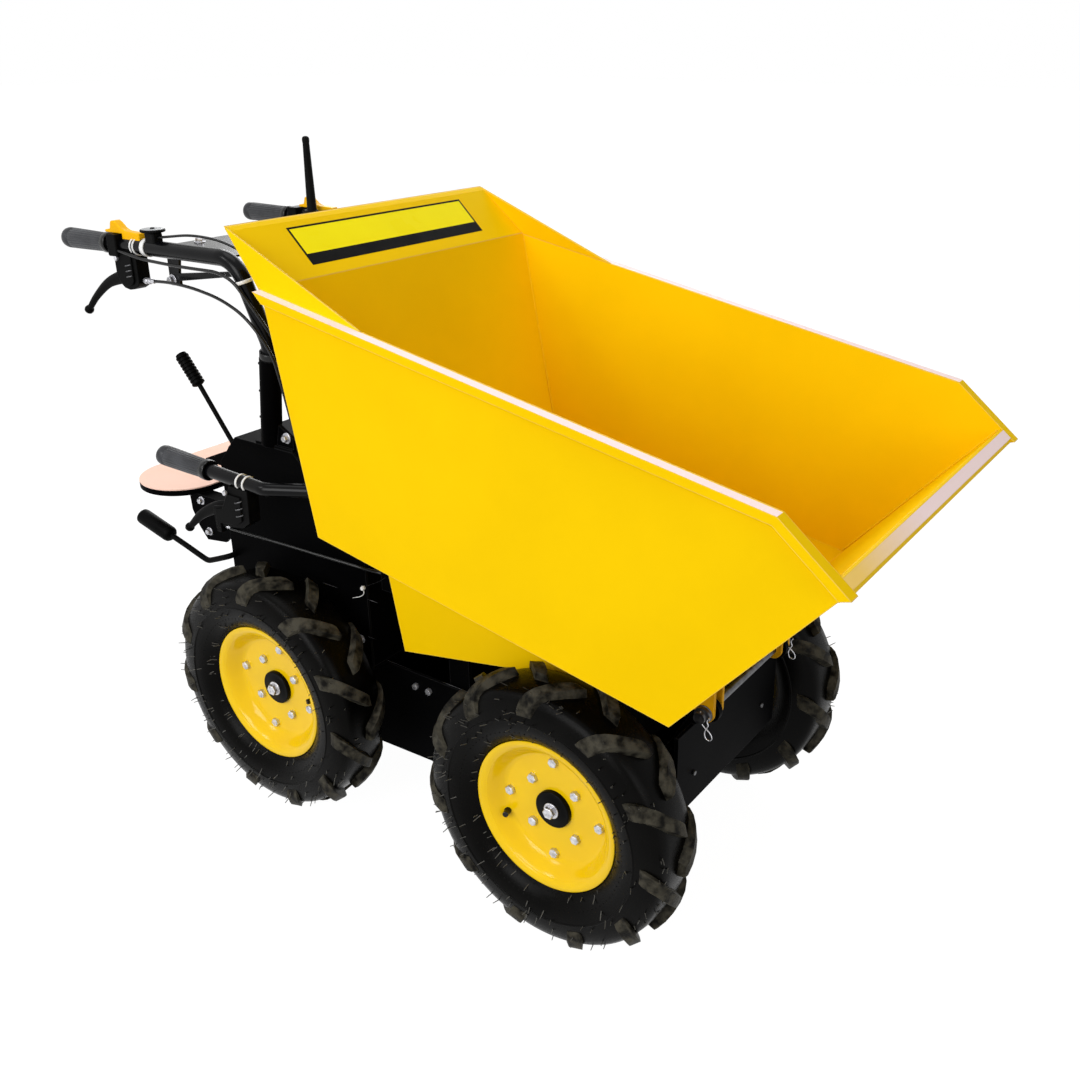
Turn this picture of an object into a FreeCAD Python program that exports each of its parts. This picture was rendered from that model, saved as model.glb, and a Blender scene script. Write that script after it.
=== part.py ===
import FreeCAD, Part
import math
import os

# Walk-behind four-wheel mini loader with a skip that tips forward.
# Working frame, in millimetres: +X forward, +Y to the machine's left, +Z up, with the
# rear axle over x = 0 and the ground at z = 0. Each piece is moved on export, so that
# the middle of the whole length is at x = 0.

V = FreeCAD.Vector

# Wheels and axles
wheelbase = 556
track = 470
tyre_diameter = 420
tyre_width = 96
casing_wall = 9
crown_height = 14
shoulder_inset = 7
rim_seat_radius = 101.6
rim_flange_radius = 115
rim_width = 60
rim_sheet = 3
disc_thickness = 6
hub_spigot_radius = 27
hub_spigot_length = 7
hub_flange_radius = 62
hub_flange_thickness = 8
hub_barrel_radius = 24
hub_barrel_length = 46
stub_radius = 14
stub_length = 58
axle_tube_radius = 32
axle_gap = 6
gear_case_length = 100
gear_case_width = 130
gear_case_above = 38
gear_case_below = 50

# Fits
running = 0.05
pin_clearance = 0.1
seat = 0.2
side_gap = 5

# Skip hinge
hinge_x = wheelbase + 160
hinge_z = 356
pin_radius = 6
pin_head_radius = pin_radius + 2.5
pin_head_length = 8
washer_radius = pin_radius + 6
washer_length = 5
lug_thickness = 5
lug_eye_radius = pin_radius + 8
lug_foot_length = 46
upright_thickness = 8
upright_inset = 26
upright_eye_radius = pin_radius + 12

# Skip: corners of its side, as (x, z), outside faces
skip_half_width = 284
skip_sheet = 3
flare_top = (40, 954)
flare_half_width = 269
back_top = (118, 880)
knee = (183, 539)
foot = (hinge_x + 41, 441)
side_tip = (hinge_x + 239, 669.5)
nose = (hinge_x + 251, 673)
rim_corner = (hinge_x + 165, 744)
front_inset = 19
lip = (hinge_x + 233, 688)
belly_depth = 230
belly_front_drop = 35.5
belly_to_tyre = 15
hem_width = 14
hem_drop = 12
lip_reach = 12
lip_drop = 7
gusset_run = 182
gusset_sheet = 3

# Engine bay
bay_to_tyre = 27
bay_half_width = track / 2 - tyre_width / 2 - bay_to_tyre
bay_sheet = 3
bay_rear = -180
bay_front = 140
bay_shoulder = 540
bay_top_rear = -136
bay_top_front = 0
bay_top = 590
bay_nose = 470
deck_thickness = 4
engine_length = 260
engine_height = 225
engine_side_gap = 20

# Frame
rail_half_width = bay_half_width - 30
rail_thickness = 5
rail_inside = rail_half_width - rail_thickness
rail_top = 250
rail_bottom_rear = 80
rail_bottom_front = 108
rail_rear = -95
rail_front = wheelbase + 84
cross_plate = 6
tower_x = wheelbase + 135
tower_bottom = 197
tower_top = 326
tower_half_width = rail_half_width + 20
upright_half_span = rail_inside - upright_inset
floor_sheet = 3
rest_x = 272
rest_length = 40
rest_plate = 6
rest_web_overlap = 30

# Guard shelf behind the bay
shelf_z = 475
shelf_x = -328
shelf_width = 158
shelf_half_span = 204
shelf_sheet = 2
shelf_rim = 10
shelf_rim_width = 12
bracket_sheet = 4
bracket_outer = bay_half_width - 2
bracket_flange = 26

# Handlebar: middle line of the left tube, as (x, y, z)
bar_radius = 12.5
bar_wall = 2
bar_bend = 42
bar_rear = (-462, bay_half_width + 27, 883)
bar_top = (-50, bay_half_width + 25, 888)
bar_knee = (-18, bay_half_width + 6, 760)
bar_foot = (-53, bay_half_width - 7, 602)
socket_radius = bar_radius + 4
socket_length = 150
socket_plate = 5
socket_rib = 6
grip_radius = bar_radius + 4
grip_length = 119
grip_end_x = -466

# Dash plate between the bars
dash_rear = -236
dash_front = -75
dash_sheet = 3
dash_tab = 5

# Hand controls
perch_clamp_height = bar_radius + 5
perch_width = 22
perch_x = -300
latch_width = 14
left_latch_shift = 36
knob_x = -237
knob_radius = 19
knob_thickness = 4
knob_housing = 26
knob_half_length = 12
knob_width = 18
drive_lever_x = -261
drive_lever_top = 1030
lever_radius = 5.5
ball_radius = 8
boot_radius = 13
boot_height = 9
gear_lever_inset = 20
gear_rod_radius = 4
gear_knob_radius = 11
low_rod_radius = 5
low_sleeve_radius = 14
clutch_cable_radius = 2.5
throttle_cable_radius = 2

# Tipping handle on the skip
tip_bar_radius = 11
tip_bar_y = -235
tip_bar_z = 558
tip_bar_rise = 7
tip_bar_end = -222
tip_bar_bend_x = 17
tip_bar_wall_y = -140
tip_bar_bend = 24
tip_foot_radius = tip_bar_radius + 12
tip_foot_depth = 6
tip_grip_length = 119
tip_lever_x = -39
catch_z = 424
catch_y = -150
catch_body = (46, 50, 36)

wheel_z = tyre_diameter / 2
axle_end = track / 2 - disc_thickness / 2 - hub_flange_thickness - hub_barrel_length - axle_gap
origin_x = (nose[0] + grip_end_x) / 2


def save(name, shape):
    """Write one sub-part, with the middle of the machine's length at x = 0."""
    placed = shape.copy()
    placed.translate(V(-origin_x, 0, 0))
    placed.exportStep("parts/" + name + ".step")


def mirrored(shape):
    """The same piece on the other side of the machine."""
    return shape.mirror(V(0, 0, 0), V(0, 1, 0))


def block(x0, x1, y0, y1, z0, z1):
    return Part.makeBox(x1 - x0, y1 - y0, z1 - z0, V(x0, y0, z0))


def flat(outline, y0, y1):
    """A plate standing in the X-Z plane, from y0 to y1."""
    corners = [V(x, y0, z) for x, z in outline]
    face = Part.Face(Part.makePolygon(corners + corners[:1]))
    return face.extrude(V(0, y1 - y0, 0))


def rod(start, end, radius):
    along = V(*end) - V(*start)
    return Part.makeCylinder(radius, along.Length, V(*start), along)


def cross_rod(x, z, y0, y1, radius):
    """A round bar across the machine."""
    return rod((x, y0, z), (x, y1, z), radius)


def join(*pieces):
    whole = pieces[0]
    for piece in pieces[1:]:
        whole = whole.fuse(piece)
    return whole.removeSplitter()


def turned(profile):
    """A ring about the Y axis from (radius, y) corners.

    A corner with four numbers starts an arc that passes through the second pair.
    """
    edges = []
    points = profile + profile[:1]
    for here, after in zip(points, points[1:]):
        start = V(here[0], here[1], 0)
        end = V(after[0], after[1], 0)
        if len(here) == 4:
            edges.append(Part.Arc(start, V(here[2], here[3], 0), end).toShape())
        else:
            edges.append(Part.LineSegment(start, end).toShape())
    return Part.Face(Part.Wire(edges)).revolve(V(0, 0, 0), V(0, 1, 0), 360)


def route(points, bend=None):
    """Straight runs joined by tangent arcs; without a bend radius each arc is as wide as fits."""
    points = [V(*point) for point in points]
    edges = []
    last = points[0]
    for before, here, after in zip(points, points[1:], points[2:]):
        into = (here - before).normalize()
        out = (after - here).normalize()
        half_turn = into.getAngle(out) / 2
        shorter = min((here - before).Length, (after - here).Length)
        radius = bend or 0.45 * shorter / math.tan(half_turn)
        reach = radius * math.tan(half_turn)
        start = here - into * reach
        end = here + out * reach
        inside = (out - into).normalize()
        middle = here + inside * (radius / math.cos(half_turn) - radius)
        edges.append(Part.LineSegment(last, start).toShape())
        edges.append(Part.Arc(start, middle, end).toShape())
        last = end
    edges.append(Part.LineSegment(last, points[-1]).toShape())
    return Part.Wire(edges)


def tube(points, radius, bend=None, bore=0):
    """A round bar or tube swept along a route."""
    path = route(points, bend)
    start = V(*points[0])
    along = V(*points[1]) - start
    shell = Part.Wire(Part.makeCircle(radius, start, along))
    body = path.makePipeShell([shell], True, False)
    if bore:
        inner = Part.Wire(Part.makeCircle(bore, start, along))
        body = body.cut(path.makePipeShell([inner], True, False))
    return body


def inset(outline, depth):
    """The corners of a closed outline, moved inwards with mitred corners."""
    count = len(outline)
    moved = []
    for i in range(count):
        normals = []
        for a, b in ((outline[i - 1], outline[i]), (outline[i], outline[(i + 1) % count])):
            length = math.hypot(b[0] - a[0], b[1] - a[1])
            normals.append(((a[1] - b[1]) / length, (b[0] - a[0]) / length))
        (ax, az), (bx, bz) = normals
        share = depth / (1 + ax * bx + az * bz)
        moved.append((outline[i][0] + (ax + bx) * share, outline[i][1] + (az + bz) * share))
    return moved


def meeting(a, b, c, d):
    """Where the line a-b crosses the line c-d."""
    ux, uz = b[0] - a[0], b[1] - a[1]
    vx, vz = d[0] - c[0], d[1] - c[1]
    share = ((c[0] - a[0]) * vz - (c[1] - a[1]) * vx) / (ux * vz - uz * vx)
    return a[0] + ux * share, a[1] + uz * share


# Corners worked out from the driving dimensions. The belly is the narrow trough that
# hangs between the wheels: its back and front carry on the slopes of the skip's own.
lean = (knee[0] - back_top[0]) / (back_top[1] - knee[1])
ledge_fall = (knee[1] - foot[1]) / (foot[0] - knee[0])
front_foot = (foot[0] - front_inset, foot[1] + front_inset * ledge_fall)
front_lean = (lip[0] - front_foot[0]) / (lip[1] - front_foot[1])
belly_low = (knee[0], knee[1] - belly_depth)
belly_nose = (front_foot[0] - belly_front_drop * front_lean, front_foot[1] - belly_front_drop)
belly_rear = meeting(back_top, knee, belly_low, belly_nose)
belly_rise = (belly_nose[1] - belly_low[1]) / (belly_nose[0] - belly_low[0])
belly_half_width = track / 2 - tyre_width / 2 - belly_to_tyre
inner_half_width = skip_half_width - skip_sheet
side_outline = [back_top, knee, foot, side_tip, nose, rim_corner]


def belly_z(x):
    """Height of the belly's underside."""
    return belly_low[1] + (x - belly_low[0]) * belly_rise


def make_skip_sides():
    """Side walls, each with a hem folded outwards and down along the rim."""
    outer = skip_half_width + hem_width
    wall = flat(side_outline, inner_half_width, skip_half_width)
    run = (nose[0] - rim_corner[0], nose[1] - rim_corner[1])
    beyond = (nose[0] + run[0], nose[1] + run[1])
    hem = []
    for depth, y0 in ((skip_sheet, skip_half_width), (hem_drop, outer - skip_sheet)):
        below = inset(side_outline, depth)
        low_beyond = (below[5][0] + 2 * run[0], below[5][1] + 2 * run[1])
        strip = flat([beyond, rim_corner, back_top, below[0], below[5], low_beyond], y0, outer)
        hem.append(strip.common(flat(side_outline, y0, outer)))
    side = join(wall, *hem)
    save("skip_left_side", side)
    save("skip_right_side", mirrored(side))
    return wall


def make_skip_panels():
    """Back, front, floor and ledges, split where the sheets meet."""
    belly_inner = belly_half_width - skip_sheet
    wide = [flare_top, back_top, knee, front_foot, lip, rim_corner]
    wide_in = inset(wide, skip_sheet)
    deep = [flare_top, back_top, belly_rear, belly_nose, lip, rim_corner]
    deep_in = inset(deep, skip_sheet)

    back = join(
        flat([wide[1], wide[2], wide_in[2], wide_in[1]], -inner_half_width, inner_half_width),
        flat([deep[1], deep[2], deep_in[2], deep_in[1]], -belly_inner, belly_inner),
    )
    save("skip_back_panel", back)

    floor = flat([deep[2], deep[3], deep_in[3], deep_in[2]], -belly_inner, belly_inner)
    save("skip_belly_floor", floor)

    # The lip is a flange that carries on the hem's slope, with a short fold down.
    fall = (rim_corner[1] - nose[1]) / (nose[0] - rim_corner[0])
    edge = (lip[0] + lip_reach, lip[1] - lip_reach * fall)
    root = (lip[0], lip[1] - lip_drop - lip_reach * fall)
    under_edge = (edge[0], edge[1] - lip_drop)
    inner_corner = inset([lip, root, under_edge, edge], skip_sheet)[3]
    under = meeting(inner_corner, (lip[0], inner_corner[1] + (inner_corner[0] - lip[0]) * fall), front_foot, lip)
    front = join(
        flat([wide[3], wide[4], wide_in[4], wide_in[3]], -inner_half_width, inner_half_width),
        flat([deep[3], deep[4], deep_in[4], deep_in[3]], -belly_inner, belly_inner),
        flat(
            [lip, edge, under_edge, (inner_corner[0], under_edge[1]), inner_corner, under],
            -inner_half_width,
            inner_half_width,
        ),
    )
    save("skip_front_panel", front)

    # Ledge over the wheels and belly side, folded from one sheet.
    cheek = flat([knee, belly_rear, belly_nose, front_foot], belly_inner, belly_half_width)
    ledge = flat([wide[2], wide[3], wide_in[3], wide_in[2]], belly_inner, inner_half_width)
    belly = join(cheek, ledge)
    save("skip_left_belly", belly)
    save("skip_right_belly", mirrored(belly))

    flare = flat([wide[0], wide[1], wide_in[1], wide_in[0]], -inner_half_width, inner_half_width)
    return back, flare


def make_skip_flare(flare, side_wall, back):
    """The high back leans outwards, tapers, and is closed by a gusset at each end."""
    fall = (back_top[1] - rim_corner[1]) / (rim_corner[0] - back_top[0])
    run_end = V(back_top[0] + gusset_run, skip_half_width, back_top[1] - gusset_run * fall)
    top = V(flare_top[0], flare_half_width, flare_top[1])
    low = V(back_top[0], skip_half_width, back_top[1])
    inwards = (low - top).cross(run_end - top).normalize()
    if inwards.y > 0:
        inwards = inwards * -1
    triangle = Part.Face(Part.makePolygon([top, low, run_end, top]))
    gusset = triangle.extrude(inwards * gusset_sheet)
    triangle.scale(2, run_end)
    beyond = triangle.extrude(inwards * -skip_half_width)
    for side in (gusset, mirrored(gusset), beyond, mirrored(beyond)):
        flare = flare.cut(side)
    save("skip_back_flare", flare)
    gusset = gusset.cut(side_wall).cut(back)
    save("skip_left_gusset", gusset)
    save("skip_right_gusset", mirrored(gusset))


def hinge_lug(y0, y1):
    """One lug under the belly's nose, drilled for the hinge pin."""
    rear_top = belly_nose[0] - lug_foot_length
    lug_front = hinge_x + lug_eye_radius
    web = flat(
        [
            (rear_top, belly_z(rear_top)),
            belly_nose,
            (lug_front, front_foot[1] - (front_foot[0] - lug_front) / front_lean),
            (lug_front, hinge_z),
            (hinge_x - lug_eye_radius, hinge_z),
        ],
        y0,
        y1,
    )
    eye = cross_rod(hinge_x, hinge_z, y0, y1, lug_eye_radius)
    bore = cross_rod(hinge_x, hinge_z, y0 - 1, y1 + 1, pin_radius + pin_clearance)
    return join(web, eye).cut(bore)


def make_hinge():
    """Each side of the hinge is a fork of two lugs on the skip, around one frame upright."""
    upright_outer = upright_half_span + upright_thickness
    inner_lug = upright_half_span - side_gap - lug_thickness
    outer_lug = upright_outer + side_gap
    lugs = [hinge_lug(y, y + lug_thickness) for y in (inner_lug, outer_lug)]
    save("skip_hinge_lugs", Part.makeCompound(lugs + [mirrored(lug) for lug in lugs]))

    # The pin has a washer and a head at each end.
    washer = outer_lug + lug_thickness + side_gap / 2
    washer_end = washer + washer_length
    pin_end = washer_end + pin_head_length
    pin = cross_rod(hinge_x, hinge_z, -pin_end, pin_end, pin_radius)
    for near, far, radius in (
        (washer, washer_end, washer_radius),
        (washer_end, pin_end, pin_head_radius),
    ):
        pin = join(
            pin,
            cross_rod(hinge_x, hinge_z, near, far, radius),
            cross_rod(hinge_x, hinge_z, -far, -near, radius),
        )
    save("hinge_pin", pin)

    upright = flat(
        [
            (rail_front, rail_bottom_front),
            (tower_x + cross_plate, tower_bottom),
            (tower_x + cross_plate, tower_top),
            (hinge_x + upright_eye_radius, hinge_z),
            (hinge_x - upright_eye_radius, hinge_z),
            (rail_front, rail_top),
        ],
        upright_half_span,
        upright_outer,
    )
    eye = cross_rod(hinge_x, hinge_z, upright_half_span, upright_outer, upright_eye_radius)
    bore = cross_rod(hinge_x, hinge_z, 0, 2 * upright_outer, pin_radius + pin_clearance)
    upright = join(upright, eye).cut(bore)
    cross_rear = rail_front - cross_plate
    cross = block(cross_rear, rail_front, -rail_inside, rail_inside, rail_bottom_front, rail_top)
    tower_front = tower_x + cross_plate
    half = tower_half_width
    tower = block(tower_x, tower_front, -half, half, tower_bottom, tower_top)
    save("hinge_carrier", join(cross, tower, upright, mirrored(upright)))


def make_frame():
    """Two side rails bored for the axle tubes, the rear plate and the skip's cradle."""
    outline = [
        (rail_rear, rail_bottom_rear),
        (rail_front, rail_bottom_front),
        (rail_front, rail_top),
        (rail_rear, rail_top),
    ]
    rail = flat(outline, rail_inside, rail_half_width)
    for x in (0, wheelbase):
        rail = rail.cut(cross_rod(x, wheel_z, 0, track, axle_tube_radius + seat))
    save("frame_left_rail", rail)
    save("frame_right_rail", mirrored(rail))
    plate_front = rail_rear + cross_plate
    plate = block(rail_rear, plate_front, -rail_inside, rail_inside, rail_bottom_rear, rail_top)
    save("frame_rear_plate", plate)

    # Floor pan between the rails, along their lower edges.
    rise = (rail_bottom_front - rail_bottom_rear) / (rail_front - rail_rear)
    ends = (plate_front, rail_front - cross_plate)
    low = [(x, rail_bottom_rear + (x - rail_rear) * rise) for x in ends]
    high = [(x, z + floor_sheet) for x, z in reversed(low)]
    save("frame_floor", flat(low + high, -rail_inside, rail_inside))

    rest_end = rest_x + rest_length
    top = [(x, belly_z(x) - seat) for x in (rest_x, rest_end)]
    under = [(x, z - rest_plate) for x, z in reversed(top)]
    web_low = rail_top - rest_web_overlap
    pad = flat(top + under, -rail_inside, rail_inside)
    web = flat(under + [(rest_x, web_low), (rest_end, web_low)], rail_inside - cross_plate, rail_inside)
    save("skip_rest", join(pad, web, mirrored(web)))


def make_axles():
    """Gear case and axle tubes, bored at each end for the hub's stub shaft."""
    low = wheel_z - gear_case_below
    high = wheel_z + gear_case_above
    half_length = gear_case_length / 2
    half_width = gear_case_width / 2
    for name, x in (("rear", 0), ("front", wheelbase)):
        case = block(x - half_length, x + half_length, -half_width, half_width, low, high)
        housing = join(case, cross_rod(x, wheel_z, -axle_end, axle_end, axle_tube_radius))
        bore = cross_rod(x, wheel_z, axle_end - stub_length, track, stub_radius + running)
        save(name + "_axle_housing", housing.cut(bore).cut(mirrored(bore)))


def make_wheels():
    """Tyre, rim and hub, turned about the axle and placed at the four corners."""
    half = rim_width / 2
    crown = tyre_diameter / 2
    bulge = tyre_width / 2
    seat_radius = rim_seat_radius + seat
    bead = half - rim_sheet - seat
    flange = rim_flange_radius
    wall = casing_wall
    above = flange + 2
    shoulder_radius = crown - crown_height
    shoulder = bulge - shoulder_inset
    swell = (flange + shoulder_radius) / 2
    tyre = turned(
        [
            (seat_radius, -bead),
            (flange, -bead),
            (above, -half - 2, swell, -bulge),
            (shoulder_radius, -shoulder, crown, 0),
            (shoulder_radius, shoulder, swell, bulge),
            (above, half + 2),
            (flange, bead),
            (seat_radius, bead),
            (seat_radius, bead - wall),
            (above, bead - wall, swell, bulge - wall),
            (shoulder_radius - wall, shoulder - wall, crown - wall - 3, 0),
            (shoulder_radius - wall, wall - shoulder, swell, wall - bulge),
            (above, wall - bead),
            (seat_radius, wall - bead),
        ]
    )
    drop = rim_seat_radius - rim_sheet
    rim = turned(
        [
            (hub_spigot_radius + seat, -disc_thickness / 2),
            (drop, -disc_thickness / 2),
            (drop, rim_sheet - half),
            (flange - rim_sheet, -half),
            (flange, -half),
            (flange, rim_sheet - half),
            (rim_seat_radius, rim_sheet - half),
            (rim_seat_radius, half - rim_sheet),
            (flange, half - rim_sheet),
            (flange, half),
            (flange - rim_sheet, half),
            (drop, half - rim_sheet),
            (drop, disc_thickness / 2),
            (hub_spigot_radius + seat, disc_thickness / 2),
        ]
    )
    face = -disc_thickness / 2
    barrel_end = face - hub_flange_thickness - hub_barrel_length
    stub_end = barrel_end - axle_gap - stub_length + 2
    hub = turned(
        [
            (0, stub_end),
            (stub_radius, stub_end),
            (stub_radius, barrel_end),
            (hub_barrel_radius, barrel_end),
            (hub_barrel_radius, face - hub_flange_thickness),
            (hub_flange_radius, face - hub_flange_thickness),
            (hub_flange_radius, face),
            (hub_spigot_radius, face),
            (hub_spigot_radius, -face + hub_spigot_length),
            (0, -face + hub_spigot_length),
        ]
    )
    for end_name, x in (("front", wheelbase), ("rear", 0)):
        for piece, shape in (("tyre", tyre), ("rim", rim), ("hub", hub)):
            placed = shape.copy()
            placed.translate(V(x, track / 2, wheel_z))
            save(piece + "_" + end_name + "_left", placed)
            save(piece + "_" + end_name + "_right", mirrored(placed))


def make_engine_bay():
    """Sheet housing on the rails, around one plain block for the engine."""
    floor = rail_top + deck_thickness
    save("bay_deck", block(bay_rear, bay_front, -bay_half_width, bay_half_width, rail_top, floor))
    side = [
        (bay_rear, floor),
        (bay_front, floor),
        (bay_front, bay_nose),
        (bay_top_front, bay_top),
        (bay_top_rear, bay_top),
        (bay_rear, bay_shoulder),
    ]
    inner = inset(side, bay_sheet)
    panel = flat(side, bay_half_width - bay_sheet, bay_half_width)
    save("bay_left_panel", panel)
    save("bay_right_panel", mirrored(panel))
    between = bay_half_width - bay_sheet
    save("bay_cover", flat(side[2:] + [inner[5], inner[4], inner[3], inner[2]], -between, between))
    save("bay_rear_panel", flat([side[5], side[0], inner[0], inner[5]], -between, between))
    save("bay_front_panel", flat([side[1], side[2], inner[2], inner[1]], -between, between))
    middle = (bay_rear + bay_front) / 2
    rear = middle - engine_length / 2
    side_face = bay_half_width - engine_side_gap
    engine = block(rear, rear + engine_length, -side_face, side_face, floor, floor + engine_height)
    save("engine_block", engine)


def oval(width, half_span, z0, z1):
    """A plate with round ends, lying across the machine behind the bay."""
    radius = width / 2
    straight = half_span - radius
    middle = block(shelf_x - radius, shelf_x + radius, -straight, straight, z0, z1)
    ends = [Part.makeCylinder(radius, z1 - z0, V(shelf_x, side * straight, z0)) for side in (-1, 1)]
    return join(middle, *ends)


def make_guard_shelf():
    """Shelf plate, the bar around its underside, and a gusseted bracket on each side."""
    low = shelf_z - shelf_sheet
    bottom = low - shelf_rim
    save("guard_shelf", oval(shelf_width, shelf_half_span, low, shelf_z))
    inside = oval(shelf_width - 2 * shelf_rim_width, shelf_half_span - shelf_rim_width, bottom, low)
    save("guard_rim", oval(shelf_width, shelf_half_span, bottom, low).cut(inside))

    inner = bracket_outer - bracket_sheet
    web = flat(
        [
            (bay_rear, bottom),
            (shelf_x + 48, bottom),
            (shelf_x + 50, bottom - 33),
            (shelf_x + 64, bottom - 62),
            (shelf_x + 82, bottom - 83),
            (bay_rear - 16, bottom - 76),
            (bay_rear, bottom - 62),
        ],
        inner,
        bracket_outer,
    )
    flange_inner = bracket_outer - bracket_flange
    back = bay_rear - bracket_sheet
    foot_plate = block(back, bay_rear, flange_inner, bracket_outer, bottom - 62, bottom)
    arm = block(shelf_x - 20, bay_rear, flange_inner, bracket_outer, bottom - bracket_sheet, bottom)
    bracket = join(web, foot_plate, arm)
    save("guard_brackets", Part.makeCompound([bracket, mirrored(bracket)]))


def make_handlebar():
    """Two bent tubes with grips, and the sockets on the bay that they drop into."""
    bar = tube([bar_rear, bar_top, bar_knee, bar_foot], bar_radius, bar_bend, bar_radius - bar_wall)
    save("handlebar_left_tube", bar)
    save("handlebar_right_tube", mirrored(bar))

    along = (V(*bar_top) - V(*bar_rear)).normalize()
    start = V(*bar_rear) + along * (grip_end_x - bar_rear[0])
    bore = Part.makeCylinder(bar_radius + seat, grip_length, V(*bar_rear) - along * seat, along)
    grip = Part.makeCylinder(grip_radius, grip_length, start, along).cut(bore)
    save("hand_grip_left", grip)
    save("hand_grip_right", mirrored(grip))

    x, y, z = bar_foot
    up = (V(*bar_knee) - V(*bar_foot)).normalize()
    socket = Part.makeCylinder(socket_radius, socket_length, V(*bar_foot) - up * 8, up)
    plate_top = bay_top + socket_plate
    plate = block(x - 32, bay_top_front, y - 25, bay_half_width, bay_top, plate_top)
    rib = flat(
        [(x, plate_top), (bay_top_front, plate_top), (bay_top_front, bay_top + 22), (x + 14, bay_top + 44)],
        y - socket_rib / 2,
        y + socket_rib / 2,
    )
    socket = join(socket, plate, rib)
    socket = socket.cut(block(x - 60, bay_top_front, y - 60, y + 60, bay_top - 60, bay_top))
    bore = Part.makeCylinder(bar_radius + seat, socket_length, V(*bar_foot) - up * seat, up)
    socket = socket.cut(bore)
    save("handlebar_sockets", Part.makeCompound([socket, mirrored(socket)]))


def bar_at(x, lift=0):
    """A point on the left handlebar's middle along its level run, or above it."""
    share = (x - bar_rear[0]) / (bar_top[0] - bar_rear[0])
    y = bar_rear[1] + share * (bar_top[1] - bar_rear[1])
    return x, y, bar_rear[2] + share * (bar_top[2] - bar_rear[2]) + lift


def on_bar(x, outline, width):
    """A plate centred on the left handlebar, its outline measured from the bar's middle at x."""
    _, y, z = bar_at(x)
    return flat([(x + ahead, z + up) for ahead, up in outline], y - width / 2, y + width / 2)


def make_dash():
    """Plate between the bars, with a long tab hanging under each end of its rear edge."""
    z = bar_at(dash_rear)[2]
    y = bar_top[1] - bar_radius - seat
    plate = block(dash_rear, dash_front, -y, y, z, z + dash_sheet)
    rear = dash_rear + 2
    fold = rear + 30
    tip = rear + 148
    tab = flat(
        [
            (rear, z - 8),
            (rear, z - 58),
            (rear + 24, z - 58),
            (rear + 24, z - 50),
            (tip, z - 30),
            (tip, z - 22),
            (rear + 24, z - 38),
            (fold, z - 8),
        ],
        y - 3 - dash_tab,
        y - 3,
    )
    hanger = block(rear, fold, y - 3 - dash_tab, y, z - 10, z + dash_sheet)
    save("dash_panel", join(plate, tab, hanger, mirrored(tab), mirrored(hanger)))


def ball_ended(line):
    """A bent lever blade with a ball at its free end."""
    tip = V(*line[-1])
    ball = Part.makeSphere(ball_radius, tip, tip - V(*line[-2]))
    return join(tube(line, lever_radius), ball)


def make_hand_levers():
    """A clutch lever and a thumb latch on each bar."""
    bar = rod(bar_rear, bar_top, bar_radius + seat)
    perch = [(-31, 0), (25, 0), (25, -56), (20, -62), (10, -67), (-2, -69), (-14, -67), (-24, -60), (-31, -48)]
    body = on_bar(perch_x, perch, perch_width)
    over = perch_clamp_height
    clamp = on_bar(perch_x, [(-36, -over), (-12, -over), (-12, over), (-36, over)], 2 * over)
    _, y, z = bar_at(perch_x)
    drops = ((-26, -50), (-72, -66), (-112, -92), (-141, -118))
    line = [(perch_x + ahead, y, z + up) for ahead, up in drops]
    clutch = join(join(body, clamp).cut(bar), ball_ended(line))
    save("clutch_levers", Part.makeCompound([clutch, mirrored(clutch)]))

    over += seat
    thumb = [(-50, over), (-52, 21.5), (-38, 24), (-34, 36), (-26, 37.5), (-19, 34), (-9, 26)]
    thumb += [(2, 22.5), (36, 21.5), (36, 3), (30, 0), (-8, 0), (-8, over)]
    latch = on_bar(perch_x, thumb, latch_width)
    moved = latch.copy()
    moved.translate(V(left_latch_shift, 0, 0))
    save("thumb_latches", Part.makeCompound([moved.cut(bar), mirrored(latch.cut(bar))]))


def make_drive_controls():
    """Throttle knob on the right bar, drive lever on the left one, and two lower levers."""
    bar = rod(bar_rear, bar_top, bar_radius + seat)
    half = knob_half_length
    housing = on_bar(knob_x, [(-half, 0), (half, 0), (half, knob_housing), (-half, knob_housing)], knob_width)
    disc = Part.makeCylinder(knob_radius, knob_thickness, V(*bar_at(knob_x, knob_housing)))
    save("throttle_knob", mirrored(join(housing.cut(bar), disc)))

    x, y, z = bar_at(drive_lever_x)
    stalk_y = y - bar_radius - 12
    base = block(x - 13, x + 15, stalk_y - 12, y - 8, z - 12, z + 12).cut(bar)
    stalk = Part.makeCone(9, lever_radius, drive_lever_top - z, V(x, stalk_y, z))
    save("drive_lever", join(base, stalk))

    # The gear lever leaves the bay through a boot on its sloping shoulder.
    along = V(bay_top_rear - bay_rear, 0, bay_top - bay_shoulder)
    outwards = V(-along.z, 0, along.x).normalize()
    boot_y = gear_lever_inset - bay_half_width
    place = V(bay_rear, boot_y, bay_shoulder) + along * 0.4 + outwards * seat
    boot = Part.makeCylinder(boot_radius, boot_height, place, outwards)
    neck = (bay_rear - 56, boot_y, bay_top + 66)
    top = (bay_rear - 96, boot_y, bay_top + 113)
    lever = rod(place + outwards * (boot_height / 2), neck, gear_rod_radius)
    save("gear_lever", join(boot, lever, rod(neck, top, gear_knob_radius)))

    # The low lever leaves the bay through its right side.
    side = -bay_half_width - seat
    crank = [
        (bay_rear + 10, side, 374),
        (bay_rear + 10, side - 16, 374),
        (bay_rear - 42, side - 20, 354),
        (bay_rear - 138, side - 22, 380),
    ]
    sleeve = rod((bay_rear - 134, side - 22, 379), (bay_rear - 210, side - 24, 400), low_sleeve_radius)
    save("low_lever", join(tube(crank, low_rod_radius), sleeve))


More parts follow.
